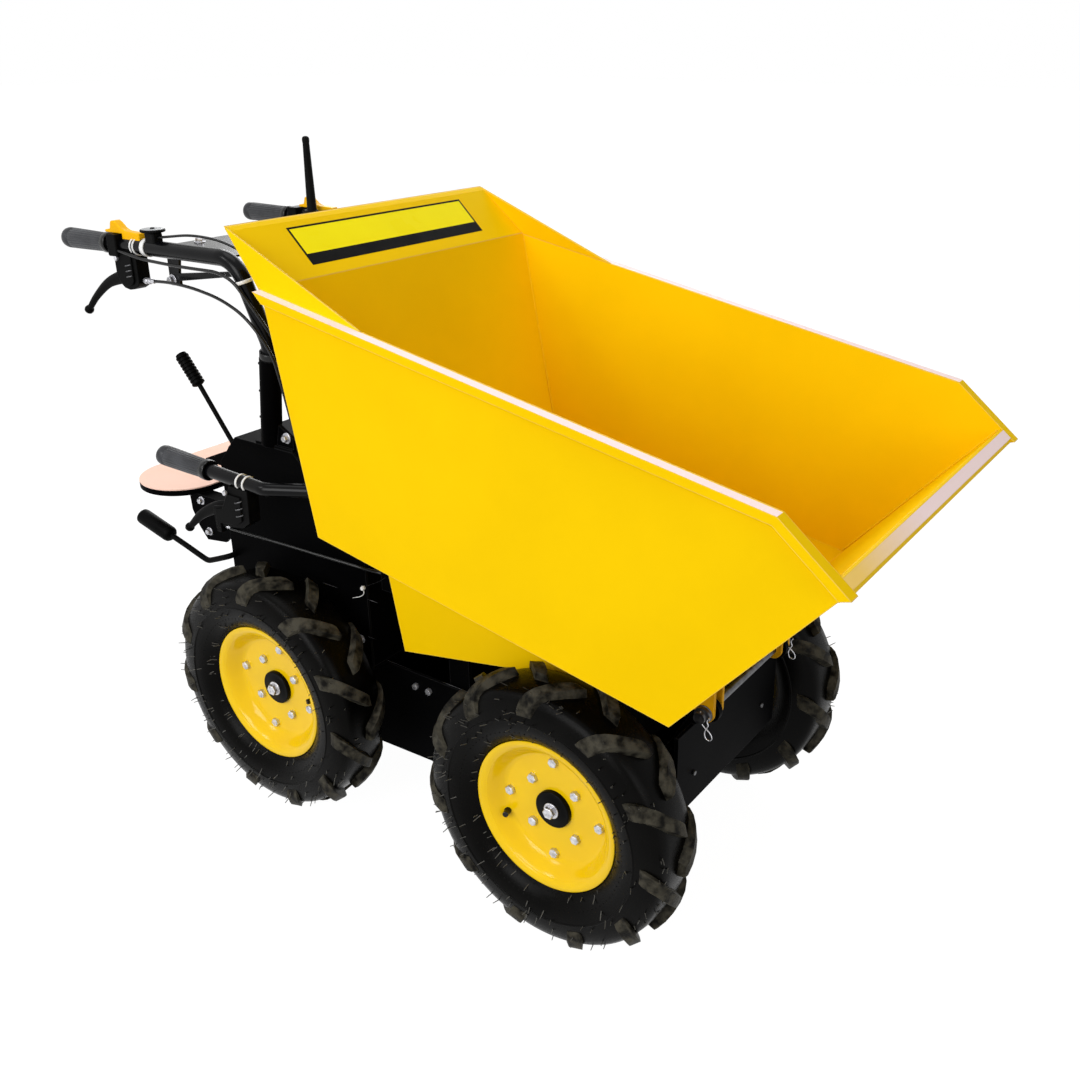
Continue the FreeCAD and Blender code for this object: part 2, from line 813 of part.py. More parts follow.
def cover_z(x):
    """Height of the bay's sloping front cover."""
    fall = (bay_top - bay_nose) / (bay_front - bay_top_front)
    return bay_top - fall * (x - bay_top_front)


def make_control_cables():
    """Cables clipped along the bars, from each control down to the bay's top.

    Each point is (x, distance outside the bay's side, z).
    """
    perch_front = perch_x + 25 + seat
    knob_front = knob_x + knob_half_length + seat
    clutch = [
        (perch_front, 27, bar_at(perch_x)[2] - 53),
        (-210, 28, 837),
        (-150, 30, 835),
        (-88, 32, 827),
        (-32, 34, 808),
        (4, 22, 757),
        (2, 6, 690),
        (6, 0, 640),
        (12, -8, cover_z(12) + clutch_cable_radius + seat),
    ]
    throttle = [
        (knob_front, 27, bar_at(knob_x)[2] + 18),
        (-150, 22, 914),
        (-95, 10, 909),
        (-42, -6, 884),
        (-4, -14, 840),
        (4, -18, 780),
        (0, -22, 690),
        (2, -26, 640),
        (10, -30, cover_z(10) + clutch_cable_radius + seat),
    ]
    beside = bar_at(perch_x)[1] - bay_half_width + perch_width / 2 + clutch_cable_radius + seat
    along_bar = bar_radius + clutch_cable_radius
    low = bar_rear[2] + 12.75 - 1.5 * bar_radius
    drive = [
        (perch_x - 12 + seat, beside, low),
        (perch_x + 4, beside, low - 2),
        (perch_x + 44, beside, low - 7.5),
        (-170, beside, low - 9.5),
        (-76, beside, low - 8),
        (-44, beside - 16 + along_bar, 859),
        (-28, along_bar + 18, 835),
        (-10, along_bar + 10, 806),
        (8, along_bar - 7, 757),
        (7, -8, 690),
        (9, -13, 640),
        (14, -19, cover_z(14) + clutch_cable_radius + seat),
    ]
    cables = []
    for points, radius in (
        (clutch, clutch_cable_radius),
        (drive, clutch_cable_radius),
        (throttle, throttle_cable_radius),
    ):
        cables.append(tube([(x, bay_half_width + out, z) for x, out, z in points], radius))
    pair = cables[:2]
    whole = pair + [mirrored(cable) for cable in pair] + [mirrored(cables[2])]
    save("control_cables", Part.makeCompound(whole))


def back_x(z):
    """Where the skip's sloping back is at height z."""
    return back_top[0] + lean * (back_top[1] - z)


def make_tipping_handle():
    """Hand bar welded to the skip's back, with its own lever for the skip catch."""
    y = tip_bar_y
    z = tip_bar_z
    wall_x = back_x(z)
    rear = (tip_bar_end, y, z + tip_bar_rise)
    bend = (tip_bar_bend_x, y, z)
    wall = (wall_x + tip_foot_depth, tip_bar_wall_y, z)
    inside_skip = flat([back_top, belly_rear, foot, lip], -skip_half_width, skip_half_width)
    bar = tube([rear, bend, wall], tip_bar_radius, tip_bar_bend)
    foot_y = tip_bar_wall_y + 4
    foot_rear = (wall_x - tip_foot_depth, foot_y, z + 1)
    foot_front = (wall_x + tip_foot_depth, foot_y, z - 1)
    foot_plate = rod(foot_rear, foot_front, tip_foot_radius)
    save("tipping_handle", join(bar, foot_plate).cut(inside_skip))

    along = (V(*bend) - V(*rear)).normalize()
    hollow = Part.makeCylinder(tip_bar_radius + seat, tip_grip_length, V(*rear) - along * seat, along)
    grip = Part.makeCylinder(grip_radius, tip_grip_length, V(*rear) - along * 4, along).cut(hollow)
    save("tipping_grip", grip)

    x = tip_lever_x
    perch = [(-14, -8), (28, -8), (26, -62), (8, -74), (-30, -80), (-44.8, -82)]
    perch += [(-44.8, -94), (-56, -94), (-60, -52), (-34, -46)]
    half = perch_width / 2
    body = flat([(x + ahead, z + up) for ahead, up in perch], y - half, y + half)
    drops = ((-26, -52), (-60, -58), (-104, -80), (-142, -112))
    line = [(x + ahead, y, z + up) for ahead, up in drops]
    lever = body.cut(rod(rear, bend, tip_bar_radius + seat))
    save("catch_lever", join(lever, ball_ended(line)))

    long, wide, high = catch_body
    catch_x = back_x(catch_z)
    mouth = catch_x - 26
    low = catch_z - high / 2
    catch = block(mouth, mouth + long, catch_y - 15, catch_y - 15 + wide, low, low + high)
    save("skip_catch", catch.cut(inside_skip))
    wire = [
        (x - 44.8 + seat, y, z - 86),
        (x - 34, y, z - 87),
        (145, -169, 435),
        (mouth - 20, catch_y - 2, catch_z + 1),
        (mouth - seat, catch_y, catch_z),
    ]
    save("catch_cable", tube(wire, clutch_cable_radius))


os.makedirs("parts", exist_ok=True)
side_wall = make_skip_sides()
back_wall, flare_sheet = make_skip_panels()
make_skip_flare(flare_sheet, side_wall, back_wall)
make_hinge()
make_frame()
make_axles()
make_wheels()
make_engine_bay()
make_guard_shelf()
make_handlebar()
make_dash()
make_hand_levers()
make_drive_controls()
make_control_cables()
make_tipping_handle()
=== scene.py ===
# %% [markdown]
# # A mini loader with a tipping skip
#
# The machine's shape comes from its CAD model, which is loaded first and never
# moved. Every step after that adds one finish or one small piece: paint, rubber,
# tyre lugs, bolts, levers. Blender works in metres; the maker's drawing is in
# millimetres from the ground under the rear axle, so one helper converts.

import math
import random

import bmesh
import bpy
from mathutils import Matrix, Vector


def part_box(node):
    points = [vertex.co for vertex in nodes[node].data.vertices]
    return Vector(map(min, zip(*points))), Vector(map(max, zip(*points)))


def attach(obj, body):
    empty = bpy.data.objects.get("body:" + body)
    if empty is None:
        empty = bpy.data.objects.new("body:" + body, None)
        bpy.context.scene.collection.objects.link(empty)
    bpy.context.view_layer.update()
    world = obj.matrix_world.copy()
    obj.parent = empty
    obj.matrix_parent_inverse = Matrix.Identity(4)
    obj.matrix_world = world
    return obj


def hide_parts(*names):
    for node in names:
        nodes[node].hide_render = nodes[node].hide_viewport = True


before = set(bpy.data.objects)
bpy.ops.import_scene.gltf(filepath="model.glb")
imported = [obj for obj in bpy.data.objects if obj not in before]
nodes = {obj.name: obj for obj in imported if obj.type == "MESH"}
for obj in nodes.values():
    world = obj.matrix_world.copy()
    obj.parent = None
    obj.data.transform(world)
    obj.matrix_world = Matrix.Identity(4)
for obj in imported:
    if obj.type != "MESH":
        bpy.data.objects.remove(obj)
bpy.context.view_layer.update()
rear_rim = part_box("rim_rear_left")
rear_axle_x = (rear_rim[0].x + rear_rim[1].x) / 2


def at(x, y, z):
    """A point given in millimetres from the ground under the rear axle."""
    return Vector((rear_axle_x + x / 1000, y / 1000, z / 1000))


def short(values, digits=3):
    """Numbers that are short enough to print."""
    return [round(v, digits) for v in values]


# %% [markdown]
# ## The view
#
# A long way of placing a camera is to try angles by eye. It is surer to give its
# place and the direction it looks in. The shift slides the picture in the frame
# without turning the camera, so upright edges keep their direction.

# %% Camera
camera = bpy.data.objects.new("camera", bpy.data.cameras.new("camera"))
bpy.context.scene.collection.objects.link(camera)
camera.location = (1.0605, -1.261, 1.186)
look = Vector((-0.5234, 0.7604, -0.3846))
camera.rotation_mode = "QUATERNION"
camera.rotation_quaternion = look.to_track_quat("-Z", "Y")
camera.data.lens = 37.55
camera.data.sensor_width = 36
camera.data.shift_x = -0.0419
camera.data.shift_y = -0.0299
camera.data.clip_start = 0.05
bpy.context.scene.camera = camera
print("camera looks along", short(look))

# %% [markdown]
# ## Floor and light
#
# A product stands best on a plain pale floor in soft light. Wide lamps give soft
# edges to the shadows, and a world of even light fills them. The floor and the
# sky show as white through Light Path, to the camera and in reflections: that
# keeps the background white, and the metal bright, without pouring more light on
# the paint.

# %% Helpers for material nodes
def new_material(name):
    """A material, its node tree and its shader, ready for more nodes."""
    material = bpy.data.materials.new(name)
    material.use_nodes = True
    tree = material.node_tree
    return material, tree, tree.nodes["Principled BSDF"]


def fill(tree, made, inputs):
    """Link each input that is given a socket, and set each that is given a value."""
    for key, value in inputs.items():
        if isinstance(value, bpy.types.NodeSocket):
            tree.links.new(value, made.inputs[key])
        else:
            made.inputs[key].default_value = value


def node(tree, kind, inputs=None, **settings):
    """Add a node, with its settings first, because they decide which inputs it has."""
    made = tree.nodes.new(kind)
    for key, value in settings.items():
        setattr(made, key, value)
    fill(tree, made, inputs or {})
    return made


def maths(tree, operation, first, second=0.0):
    """The result of one sum on two sockets or numbers."""
    return node(tree, "ShaderNodeMath", {0: first, 1: second}, operation=operation).outputs[0]


def shows(tree):
    """1 for a ray that shows the background: a direct look, a reflection or glass."""
    path = node(tree, "ShaderNodeLightPath")
    seen = path.outputs["Is Camera Ray"]
    for kind in ("Is Glossy Ray", "Is Transmission Ray"):
        seen = maths(tree, "MAXIMUM", seen, path.outputs[kind])
    return seen


# %% Floor and sky
def rectangle(x0, x1, y0, y1):
    """The four corners of a rectangle, in order round it."""
    return [(x0, y0), (x1, y0), (x1, y1), (x0, y1)]


white = (1, 1, 1, 1)
reach = 30
corners = [(x, y, 0) for x, y in rectangle(-reach, reach, -reach, reach)]
floor_mesh = bpy.data.meshes.new("floor")
floor_mesh.from_pydata(corners, [], [(0, 1, 2, 3)])
floor = bpy.data.objects.new("floor", floor_mesh)
bpy.context.scene.collection.objects.link(floor)

floor_paint, tree, shader = new_material("floor_pale")
fill(tree, shader, {"Base Color": (0.45, 0.45, 0.45, 1), "Roughness": 0.9})
share = maths(tree, "MULTIPLY", shows(tree), 0.8)
glow = node(tree, "ShaderNodeEmission", {0: white, 1: 1.22})
blend = node(tree, "ShaderNodeMixShader", {0: share, 1: shader.outputs[0], 2: glow.outputs[0]})
fill(tree, tree.nodes["Material Output"], {"Surface": blend.outputs[0]})
floor_mesh.materials.append(floor_paint)

world = bpy.data.worlds.new("studio")
bpy.context.scene.world = world
world.use_nodes = True
sky = world.node_tree
plain = sky.nodes["Background"]
fill(sky, plain, {0: white, 1: 0.38})
bright = node(sky, "ShaderNodeBackground", {0: white, 1: 1.0})
mixed = node(sky, "ShaderNodeMixShader", {0: shows(sky), 1: plain.outputs[0], 2: bright.outputs[0]})
fill(sky, sky.nodes["World Output"], {"Surface": mixed.outputs[0]})
print("floor:", 2 * reach, "m wide")

# %% Lamps
def lamp(name, place, aim, size, power):
    """A square soft lamp that points from its place towards its aim."""
    light = bpy.data.lights.new(name, "AREA")
    light.size = size
    light.energy = power
    holder = bpy.data.objects.new(name, light)
    bpy.context.scene.collection.objects.link(holder)
    holder.location = place
    holder.visible_camera = False
    holder.rotation_mode = "QUATERNION"
    holder.rotation_quaternion = (Vector(aim) - Vector(place)).to_track_quat("-Z", "Y")


lamp("lamp_side", (0.1, -3.0, 1.7), (0, 0, 0.5), 1.6, 54)
lamp("lamp_top", (-0.5, -0.2, 3.2), (0, 0, 0.4), 1.6, 18)
lamp("lamp_front", (3.2, -0.8, 1.7), (0, 0, 0.6), 1.4, 20)
lamp("lamp_far", (-1.67, 2.43, 1.73), (0, 0, 0.5), 2.5, 74)
lamp("lamp_glint", (-1.4, -2.3, 2.3), (0, 0, 0.3), 0.6, 11)
bpy.context.scene.view_settings.view_transform = "Standard"

# %% [markdown]
# ## Paint and bare metal
#
# Sprayed paint is never one flat colour: the coat is a little thicker in places,
# its surface has a fine orange peel, and edges that get knocked show a paler or
# darker line. Noise textures give each of those, in metres, so that the grain has
# a real size on every piece. A Bevel node finds sharp edges for the wear, because
# it needs no extra vertices on the CAD meshes.

# %% Painted highlight on the skip's folded edges
hem_from, lip_within = 0.2838, 0.2812  # metres out from the middle
lip_from = at(949.5, 0, 0).x
level_face, raised_face = 0.85, 0.6  # how far a face looks up, where 1 is level


def mixed_colour(tree, share, under, over):
    """One colour over another, as much of it as the share says."""
    inputs = {"Factor": share, "A": under, "B": (*over, 1)}
    return node(tree, "ShaderNodeMix", inputs, data_type="RGBA").outputs["Result"]


def painted_fold_highlight(tree, place, under, fold_highlight):
    """Painted highlight: pale colour on the upward faces of the skip's hems and lip, picked by
    place and direction.
    """
    where = node(tree, "ShaderNodeSeparateXYZ", {0: place.outputs["Object"]}).outputs
    upward = node(tree, "ShaderNodeSeparateXYZ", {0: place.outputs["Normal"]}).outputs["Z"]
    aside = maths(tree, "ABSOLUTE", where["Y"])
    hem = maths(tree, "GREATER_THAN", aside, hem_from)
    on_hem = maths(tree, "MULTIPLY", hem, maths(tree, "GREATER_THAN", upward, level_face))
    fade = {"Value": where["Y"], "From Min": -0.25, "From Max": -0.06, "To Min": 0.22}
    on_lip = node(tree, "ShaderNodeMapRange", fade).outputs[0]
    for test, value, limit in (
        ("GREATER_THAN", where["X"], lip_from),
        ("LESS_THAN", aside, lip_within),
        ("GREATER_THAN", upward, raised_face),
    ):
        on_lip = maths(tree, "MULTIPLY", on_lip, maths(tree, test, value, limit))
    return mixed_colour(tree, maths(tree, "MAXIMUM", on_hem, on_lip), under, fold_highlight)


print("the lip's pale paint starts at x =", round(lip_from, 3))

# %% A helper for painted and moulded finishes
finishes = {}


def finish(
    name, colour, second, roughness, grain=900, peel=0.04, patch=7,
    edge=None, fold_highlight=None, metal=0.0, level=0.5, soft=0.0,
):
    """Two close colours in soft patches, uneven gloss, fine bumps, optional worn and soft edges,
    and an optional painted highlight on the skip's folds.
    """
    material, tree, shader = new_material(name + "_finish")
    place = node(tree, "ShaderNodeTexCoord")
    spot = place.outputs["Object"]
    noise = {"Vector": spot, "Scale": patch, "Detail": 5}
    patches = node(tree, "ShaderNodeTexNoise", noise).outputs["Fac"]
    ramp = node(tree, "ShaderNodeValToRGB", {"Fac": patches})
    for k, (stop, tint) in enumerate(((0.35, second), (0.62, colour))):
        ramp.color_ramp.elements[k].position = stop
        ramp.color_ramp.elements[k].color = (*tint, 1)
    top_colour = ramp.outputs["Color"]
    if edge:
        rounded = node(tree, "ShaderNodeBevel", {"Radius": 0.0025}, samples=6).outputs[0]
        flat = node(tree, "ShaderNodeNewGeometry").outputs["Normal"]
        turn = node(tree, "ShaderNodeVectorMath", {0: rounded, 1: flat}, operation="DOT_PRODUCT")
        wear = {"Value": turn.outputs["Value"], "From Min": 0.985, "From Max": 0.86}
        worn = node(tree, "ShaderNodeMapRange", wear).outputs[0]
        top_colour = mixed_colour(tree, maths(tree, "MULTIPLY", worn, patches), top_colour, edge)
    # a painted highlight on the upward faces of the skip's folds
    if fold_highlight:
        top_colour = painted_fold_highlight(tree, place, top_colour, fold_highlight)
    gloss = {"Value": patches, "To Min": roughness - 0.08, "To Max": roughness + 0.1}
    fine = node(tree, "ShaderNodeTexNoise", {"Vector": spot, "Scale": grain, "Detail": 2})
    bump = {"Strength": peel, "Distance": 0.0006, "Height": fine.outputs["Fac"]}
    if soft:
        fold = node(tree, "ShaderNodeBevel", {"Radius": soft / 1000}, samples=4)
        bump["Normal"] = fold.outputs[0]
    surface = {
        "Base Color": top_colour,
        "Roughness": node(tree, "ShaderNodeMapRange", gloss).outputs[0],
        "Normal": node(tree, "ShaderNodeBump", bump).outputs["Normal"],
        "Metallic": metal,
        "Specular IOR Level": level,
    }
    fill(tree, shader, surface)
    finishes[name] = material


# %% Yellow and black paint
def grey(shade):
    """The same amount of red, green and blue."""
    return (shade, shade, shade)


# Each has a main colour, a second colour and a roughness, then what differs from the usual.
# skip_yellow's pale fold colour is a painted highlight on the upward faces of its hems and lip
finish(
    "skip_yellow", (0.94, 0.6, 0.0012), (0.9, 0.57, 0.001), 0.42, peel=0.05, patch=5,
    edge=(0.98, 0.66, 0.2), fold_highlight=(1.0, 0.8, 0.77), level=0.02, soft=1.6,
)
finish(
    "frame_black", (0.0016, 0.0016, 0.0018), (0.0008, 0.0008, 0.0009), 0.45, peel=0.1,
    edge=(0.03, 0.03, 0.032), level=0.008, soft=1.2,
)
finish(
    "rim_yellow", (0.93, 0.6, 0.0015), (0.89, 0.565, 0.001), 0.15, peel=0.02, patch=16, level=0.24
)
# A darker copy of the skip's yellow for the hinge lugs: painted shade for the shadow under the skip
finish(
    "lug_yellow_painted_shade", (0.72, 0.36, 0.004), (0.62, 0.3, 0.003), 0.45, patch=20,
    edge=(0.8, 0.5, 0.1), level=0.02,
)
finish("latch_yellow", (0.95, 0.5, 0.004), (0.9, 0.46, 0.003), 0.3, peel=0.08, patch=40, level=0.06)
# The shelf's pale peach colour is a painted highlight: yellow paint shown as washed out by light on
# its level top
finish("shelf_yellow", (0.98, 0.66, 0.54), (0.96, 0.62, 0.49), 0.5, peel=0.1, patch=9, level=0.15)
finish("axle_black", grey(0.003), grey(0.0008), 0.7, grain=350, peel=0.5, level=0.008)
finish("hub_black", grey(0.002), grey(0.001), 0.3, peel=0.05, level=0.05)
finish(
    "bar_grey", (0.002, 0.002, 0.0026), (0.001, 0.001, 0.0014), 0.21, peel=0.06,
    patch=20, level=0.13,
)
print("painted finishes:", list(finishes))

# %% Grips, levers, cables and metal
finish(
    "grip_rubber", (0.045, 0.047, 0.053), (0.02, 0.021, 0.024), 0.36, grain=1800, peel=0.3,
    patch=30, level=0.25,
)
finish("lever_black", grey(0.003), grey(0.0015), 0.42, peel=0.15, patch=30, level=0.03)
finish("control_black", grey(0.004), grey(0.002), 0.5, grain=1500, peel=0.25, patch=40, level=0.05)
finish("cable_black", grey(0.003), grey(0.002), 0.26, patch=60, peel=0.05, level=0.3)
finish(
    "zinc", (0.72, 0.72, 0.75), (0.42, 0.42, 0.45), 0.28, grain=2500, peel=0.15,
    patch=160, metal=0.78,
)
finish(
    "dark_steel", (0.11, 0.11, 0.115), (0.05, 0.05, 0.053), 0.32, grain=2500, patch=120, metal=0.9
)
finish("tie_white", (0.85, 0.85, 0.84), (0.75, 0.75, 0.74), 0.4, patch=80, peel=0.05)
finish("engine_grey", grey(0.2), grey(0.12), 0.6, grain=400, peel=0.4, metal=0.6)
print("finishes so far:", len(finishes))

# %% Tyre rubber: smooth walls, a paler brown tread and grey hairs
finish(
    "tyre_rubber", (0.0016, 0.0014, 0.0011), (0.0008, 0.0007, 0.0005), 0.25, grain=1300, peel=0.3,
    patch=22, level=0.05,
)
finish(
    "tread_rubber", (0.055, 0.05, 0.037), (0.004, 0.0036, 0.0028), 0.46, grain=420, peel=1.0,
    patch=70, level=0.05,
)
finish("hair_rubber", (0.07, 0.066, 0.056), (0.035, 0.033, 0.028), 0.5, patch=90)
print("finishes:", len(finishes))

# %% [markdown]
# ## Paint the CAD pieces
#
# Each CAD piece arrives with a plain material, named as its slot in the part's
# record. Putting the finished material in its place changes the look and nothing
# else. The slot's name is the key, so that a new piece in the CAD model is painted
# without a change here.

# %% Assign the finishes by slot
finishes["lever_steel"] = finishes["lever_black"]
for piece in nodes.values():
    for place in piece.material_slots:
        place.material = finishes[place.material.name]
for name, own in (  # three pieces look different from the rest of their slot
    ("handlebar_sockets", "frame_black"),
    # the hinge lugs get the darker yellow: painted shade
    ("skip_hinge_lugs", "lug_yellow_painted_shade"),
    ("hinge_pin", "dark_steel"),
):
    for place in nodes[name].material_slots:
        place.material = finishes[own]
print("CAD pieces painted:", len(nodes))

# %% [markdown]
# ## Four ways to make a small piece
#
# Nearly every small piece here is one of four shapes: something turned on a lathe
# (rims, bolts, knobs, grips), something swept along a line (levers, louvres),
# a plate cut to an outline, or a hexagon head. Blender's own cylinders could be
# joined and bent for these, but a profile in a list is easier to read and change.
# Each helper adds its faces to a bmesh, and the last one turns the bmesh into an
# object that rides on its body.

# %% Lathe
def axes(way):
    """Three square directions, the first of them along the way that is given."""
    along = Vector(way).normalized()
    across = along.orthogonal().normalized()
    return along, across, along.cross(across)


def lathe(shape, profile, base, axis, sides=48, ribs=0, rib_depth=0.0, start=0.0, paint=0):
    """Turn (radius, distance along) pairs, in millimetres, about an axis from a base point."""
    along, across, up = axes(axis)
    rings = []
    for radius, distance in profile:
        centre = base + along * (distance / 1000)
        if radius < 0.01:  # one point on the axis
            rings.append([shape.verts.new(centre)])
            continue
        ring = []
        for k in range(sides):
            angle = start + 2 * math.pi * k / sides
            depth = rib_depth * (0.5 + 0.5 * math.cos(ribs * angle)) if ribs else 0
            outwards = across * math.cos(angle) + up * math.sin(angle)
            ring.append(shape.verts.new(centre + outwards * ((radius - depth) / 1000)))
        rings.append(ring)
    pairs = list(zip(rings, rings[1:]))
    if len(rings[0]) > 1 and len(rings[-1]) > 1:
        pairs.append((rings[-1], rings[0]))
    for low, high in pairs:
        for k in range(sides):
            n = (k + 1) % sides
            if len(low) == 1:
                corners = [low[0], high[n], high[k]]
            elif len(high) == 1:
                corners = [low[k], low[n], high[0]]
            else:
                corners = [low[k], low[n], high[n], high[k]]
            shape.faces.new(corners).material_index = paint


# %% A smooth line, and a skin over rings
def smooth_line(points, steps):
    """A line through every point that bends evenly (Catmull-Rom)."""
    line = []
    padded = [2 * points[0] - points[1], *points, 2 * points[-1] - points[-2]]
    for a, b, c, d in zip(padded, padded[1:], padded[2:], padded[3:]):
        slope, curve, twist = c - a, 2 * a - 5 * b + 4 * c - d, 3 * b - a - 3 * c + d
        for k in range(steps):
            t = k / steps
            line.append(0.5 * (2 * b + slope * t + curve * t * t + twist * t**3))
    return [*line, points[-1]]


def oval(shape, centre, side, up, wide, tall, sides):
    """A ring of corners, with its half width and half height in metres."""
    ring = []
    for k in range(sides):
        a = 2 * math.pi * k / sides
        spot = centre + side * (wide * math.cos(a)) + up * (tall * math.sin(a))
        ring.append(shape.verts.new(spot))
    return ring


def skin(shape, rings, paint=0, closed=True):
    """Faces from ring to ring, all with the same number of corners, and over both ends."""
    for low, high in zip(rings, rings[1:]):
        for k in range(len(low)):
            n = (k + 1) % len(low)
            shape.faces.new([low[k], low[n], high[n], high[k]]).material_index = paint
    if closed:
        for end in (rings[0][::-1], rings[-1]):
            shape.faces.new(end).material_index = paint


# %% Sweep
def sweep(shape, points, widths, heights=None, sides=14, side_way=(0, 1, 0), paint=0, steps=6):
    """An oval bar along a line, with its half widths and half heights in millimetres."""
    heights = heights or widths
    line = smooth_line(points, steps)
    rings = []
    for k, here in enumerate(line):
        share = min(k / steps, len(points) - 1)
        low = min(int(share), len(points) - 2)
        part = share - low
        wide = (widths[low] * (1 - part) + widths[low + 1] * part) / 1000
        tall = (heights[low] * (1 - part) + heights[low + 1] * part) / 1000
        ahead = line[min(k + 1, len(line) - 1)] - line[max(k - 1, 0)]
        side = Vector(side_way)
        side = (side - ahead * side.dot(ahead) / ahead.length_squared).normalized()
        rings.append(oval(shape, here, side, ahead.normalized().cross(side), wide, tall, sides))
    skin(shape, rings, paint)


# %% Plate and hexagon bolt
def plate(shape, corners, thickness, paint=0):
    """A flat plate: its corners, and the vector from its first face to its second."""
    low = [shape.verts.new(c) for c in corners]
    high = [shape.verts.new(c + Vector(thickness) / 1000) for c in corners]
    faces = [shape.faces.new(low[::-1]), shape.faces.new(high)]
    for k in range(len(corners)):
        n = (k + 1) % len(corners)
        faces.append(shape.faces.new([low[k], low[n], high[n], high[k]]))
    for face in faces:
        face.material_index = paint


def bolt(shape, base, axis, across, head, washer=0.0, turn=0.3):
    """A hexagon head on a washer, with the chamfer that a real head is turned with."""
    seat, chamfer = 0.0, 1.2
    if washer:
        seat = 1.8
        ring = [(0, 0), (washer, 0), (washer, 1.3), (washer - 0.5, seat), (0, seat)]
        lathe(shape, ring, base, axis, 28)
    corner = across / 2 / math.cos(math.pi / 6)
    top = seat + head
    hexagon = [(0, seat), (corner, seat), (corner, top - chamfer), (corner * 0.87, top), (0, top)]
    lathe(shape, hexagon, base, axis, 6, start=turn)


# %% The finished piece
def finished(shape, name, materials, body, stands_for=(), bevel=0.0, angle=35):
    """Make the bmesh an object, round its sharp edges and put it on its body."""
    bmesh.ops.recalc_face_normals(shape, faces=shape.faces[:])
    mesh = bpy.data.meshes.new(name)
    shape.to_mesh(mesh)
    shape.free()
    for material in materials:
        mesh.materials.append(finishes[material])
    mesh.polygons.foreach_set("use_smooth", [True] * len(mesh.polygons))
    mesh.set_sharp_from_angle(angle=math.radians(angle))
    piece = bpy.data.objects.new(name, mesh)
    bpy.context.scene.collection.objects.link(piece)
    if bevel:
        rounding = piece.modifiers.new("rounded_edges", "BEVEL")
        rounding.width = bevel / 1000
        rounding.segments = 2
        rounding.limit_method = "ANGLE"
        rounding.angle_limit = math.radians(angle)
        rounding.harden_normals = True
    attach(piece, body)
    if stands_for:
        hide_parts(*stands_for)
    print(name, "rides on", body, "and has", len(mesh.polygons), "faces")


# %% [markdown]
# ## Tyres
#
# These are small tractor tyres: a soft carcass and tall bars of rubber that meet
# in a V, eleven on each side, staggered by half a gap. A bump texture can't give
# the deep shadow between bars 13 mm tall, and an array with a bend modifier is
# awkward to stagger. So the carcass is turned, and each bar is built from short
# cross-sections that follow the crown, go round the shoulder and fade down the
# side wall.

# %% Carcass and bars
carcass_half = [
    (104, 26.5), (114.8, 26.9), (118, 31), (124, 37.5), (134, 43.5), (145, 46.6), (152.6, 47.5),
    (153.6, 48.7), (155.4, 48.8), (156.4, 47.6), (168, 46.6), (180, 43.5), (188, 40), (193, 34),
    (195.5, 20), (196.5, 0),
]
carcass = carcass_half + [(r, -y) for r, y in reversed(carcass_half[:-1])]
bars_per_side = 11
bar_sections = [  # angle, top (sideways, radius), foot (sideways, radius), half widths
    (-14.5, (-4, 208.0), (-4, 190), 8.5, 13),
    (-13.4, (1, 209.6), (0, 190), 10.6, 14.5),
    (-10.6, (12, 209.4), (11, 189), 11.2, 15),
    (-7.4, (23, 207.5), (22, 187), 11.6, 15.5),
    (-4.2, (33, 203.5), (31, 183), 12, 15.5),
    (-1.8, (40.5, 197.5), (36, 179), 12, 15.5),
    (-0.2, (45.5, 190), (38, 176), 12, 15.5),
    (1.0, (48.5, 180), (40, 172), 12, 15),
    (1.8, (49.0, 171), (43, 168), 11.8, 14),
    (2.2, (47.3, 165), (44, 165), 11.5, 12.5),
]


def tread_bar(shape, centre, side, angle):
    """One bar of the tread, on the side given by 1 or -1 along the axle."""
    rows = []
    for turn, top, foot, top_half, foot_half in bar_sections:
        a = math.radians(angle + turn)
        row = []
        edges = ((foot, -foot_half), (top, -top_half), (top, top_half), (foot, foot_half))
        for (sideways, radius), half in edges:
            b = a + half / radius
            offset = Vector((radius * math.cos(b), side * sideways, radius * math.sin(b))) / 1000
            row.append(shape.verts.new(centre + offset))
        rows.append(row)
    skin(shape, rows, 1)


# %% [markdown]
# A new tyre still has its moulding hairs: thin rubber threads where air left the
# mould. They are short cones with a fixed random seed, so that each run puts them
# in the same places. Fine ribs run out from the bead, as on the real mould.

# %% Hairs and mould ribs
hair_radii = (119, 122, 142, 150, 154.5, 160, 166, 171, 183, 190, 193, 195)


def wall_at(radius):
    """How far the carcass bulges sideways at a radius."""
    for (r0, y0), (r1, y1) in zip(carcass_half, carcass_half[1:]):
        if r0 <= radius <= r1:
            return y0 + (y1 - y0) * (radius - r0) / (r1 - r0)
    return 0.0


def wheel_point(centre, out, radius, angle, lift):
    """A point on the outer side wall, lifted off it along the axle."""
    sideways = out * (wall_at(radius) + lift)
    return centre + Vector((radius * math.cos(angle), sideways, radius * math.sin(angle))) / 1000


def hair(shape, centre, out):
    """One moulding hair on the side wall or the shoulder."""
    angle = random.uniform(0, 2 * math.pi)
    radius = random.choice(hair_radii) + random.uniform(-1.5, 1.5)
    foot = wheel_point(centre, out, radius, angle, -0.6)
    spread = random.uniform(0.1, 1.1)
    swirl = random.uniform(-0.35, 0.35)
    lean_x = spread * math.cos(angle) - swirl * math.sin(angle)
    lean_z = spread * math.sin(angle) + swirl * math.cos(angle)
    length = random.uniform(5, 13)
    cone = [(0.9, 0), (0.6, length), (0, length + 0.5)]
    lathe(shape, cone, foot, (lean_x, out, lean_z), sides=5, paint=2)


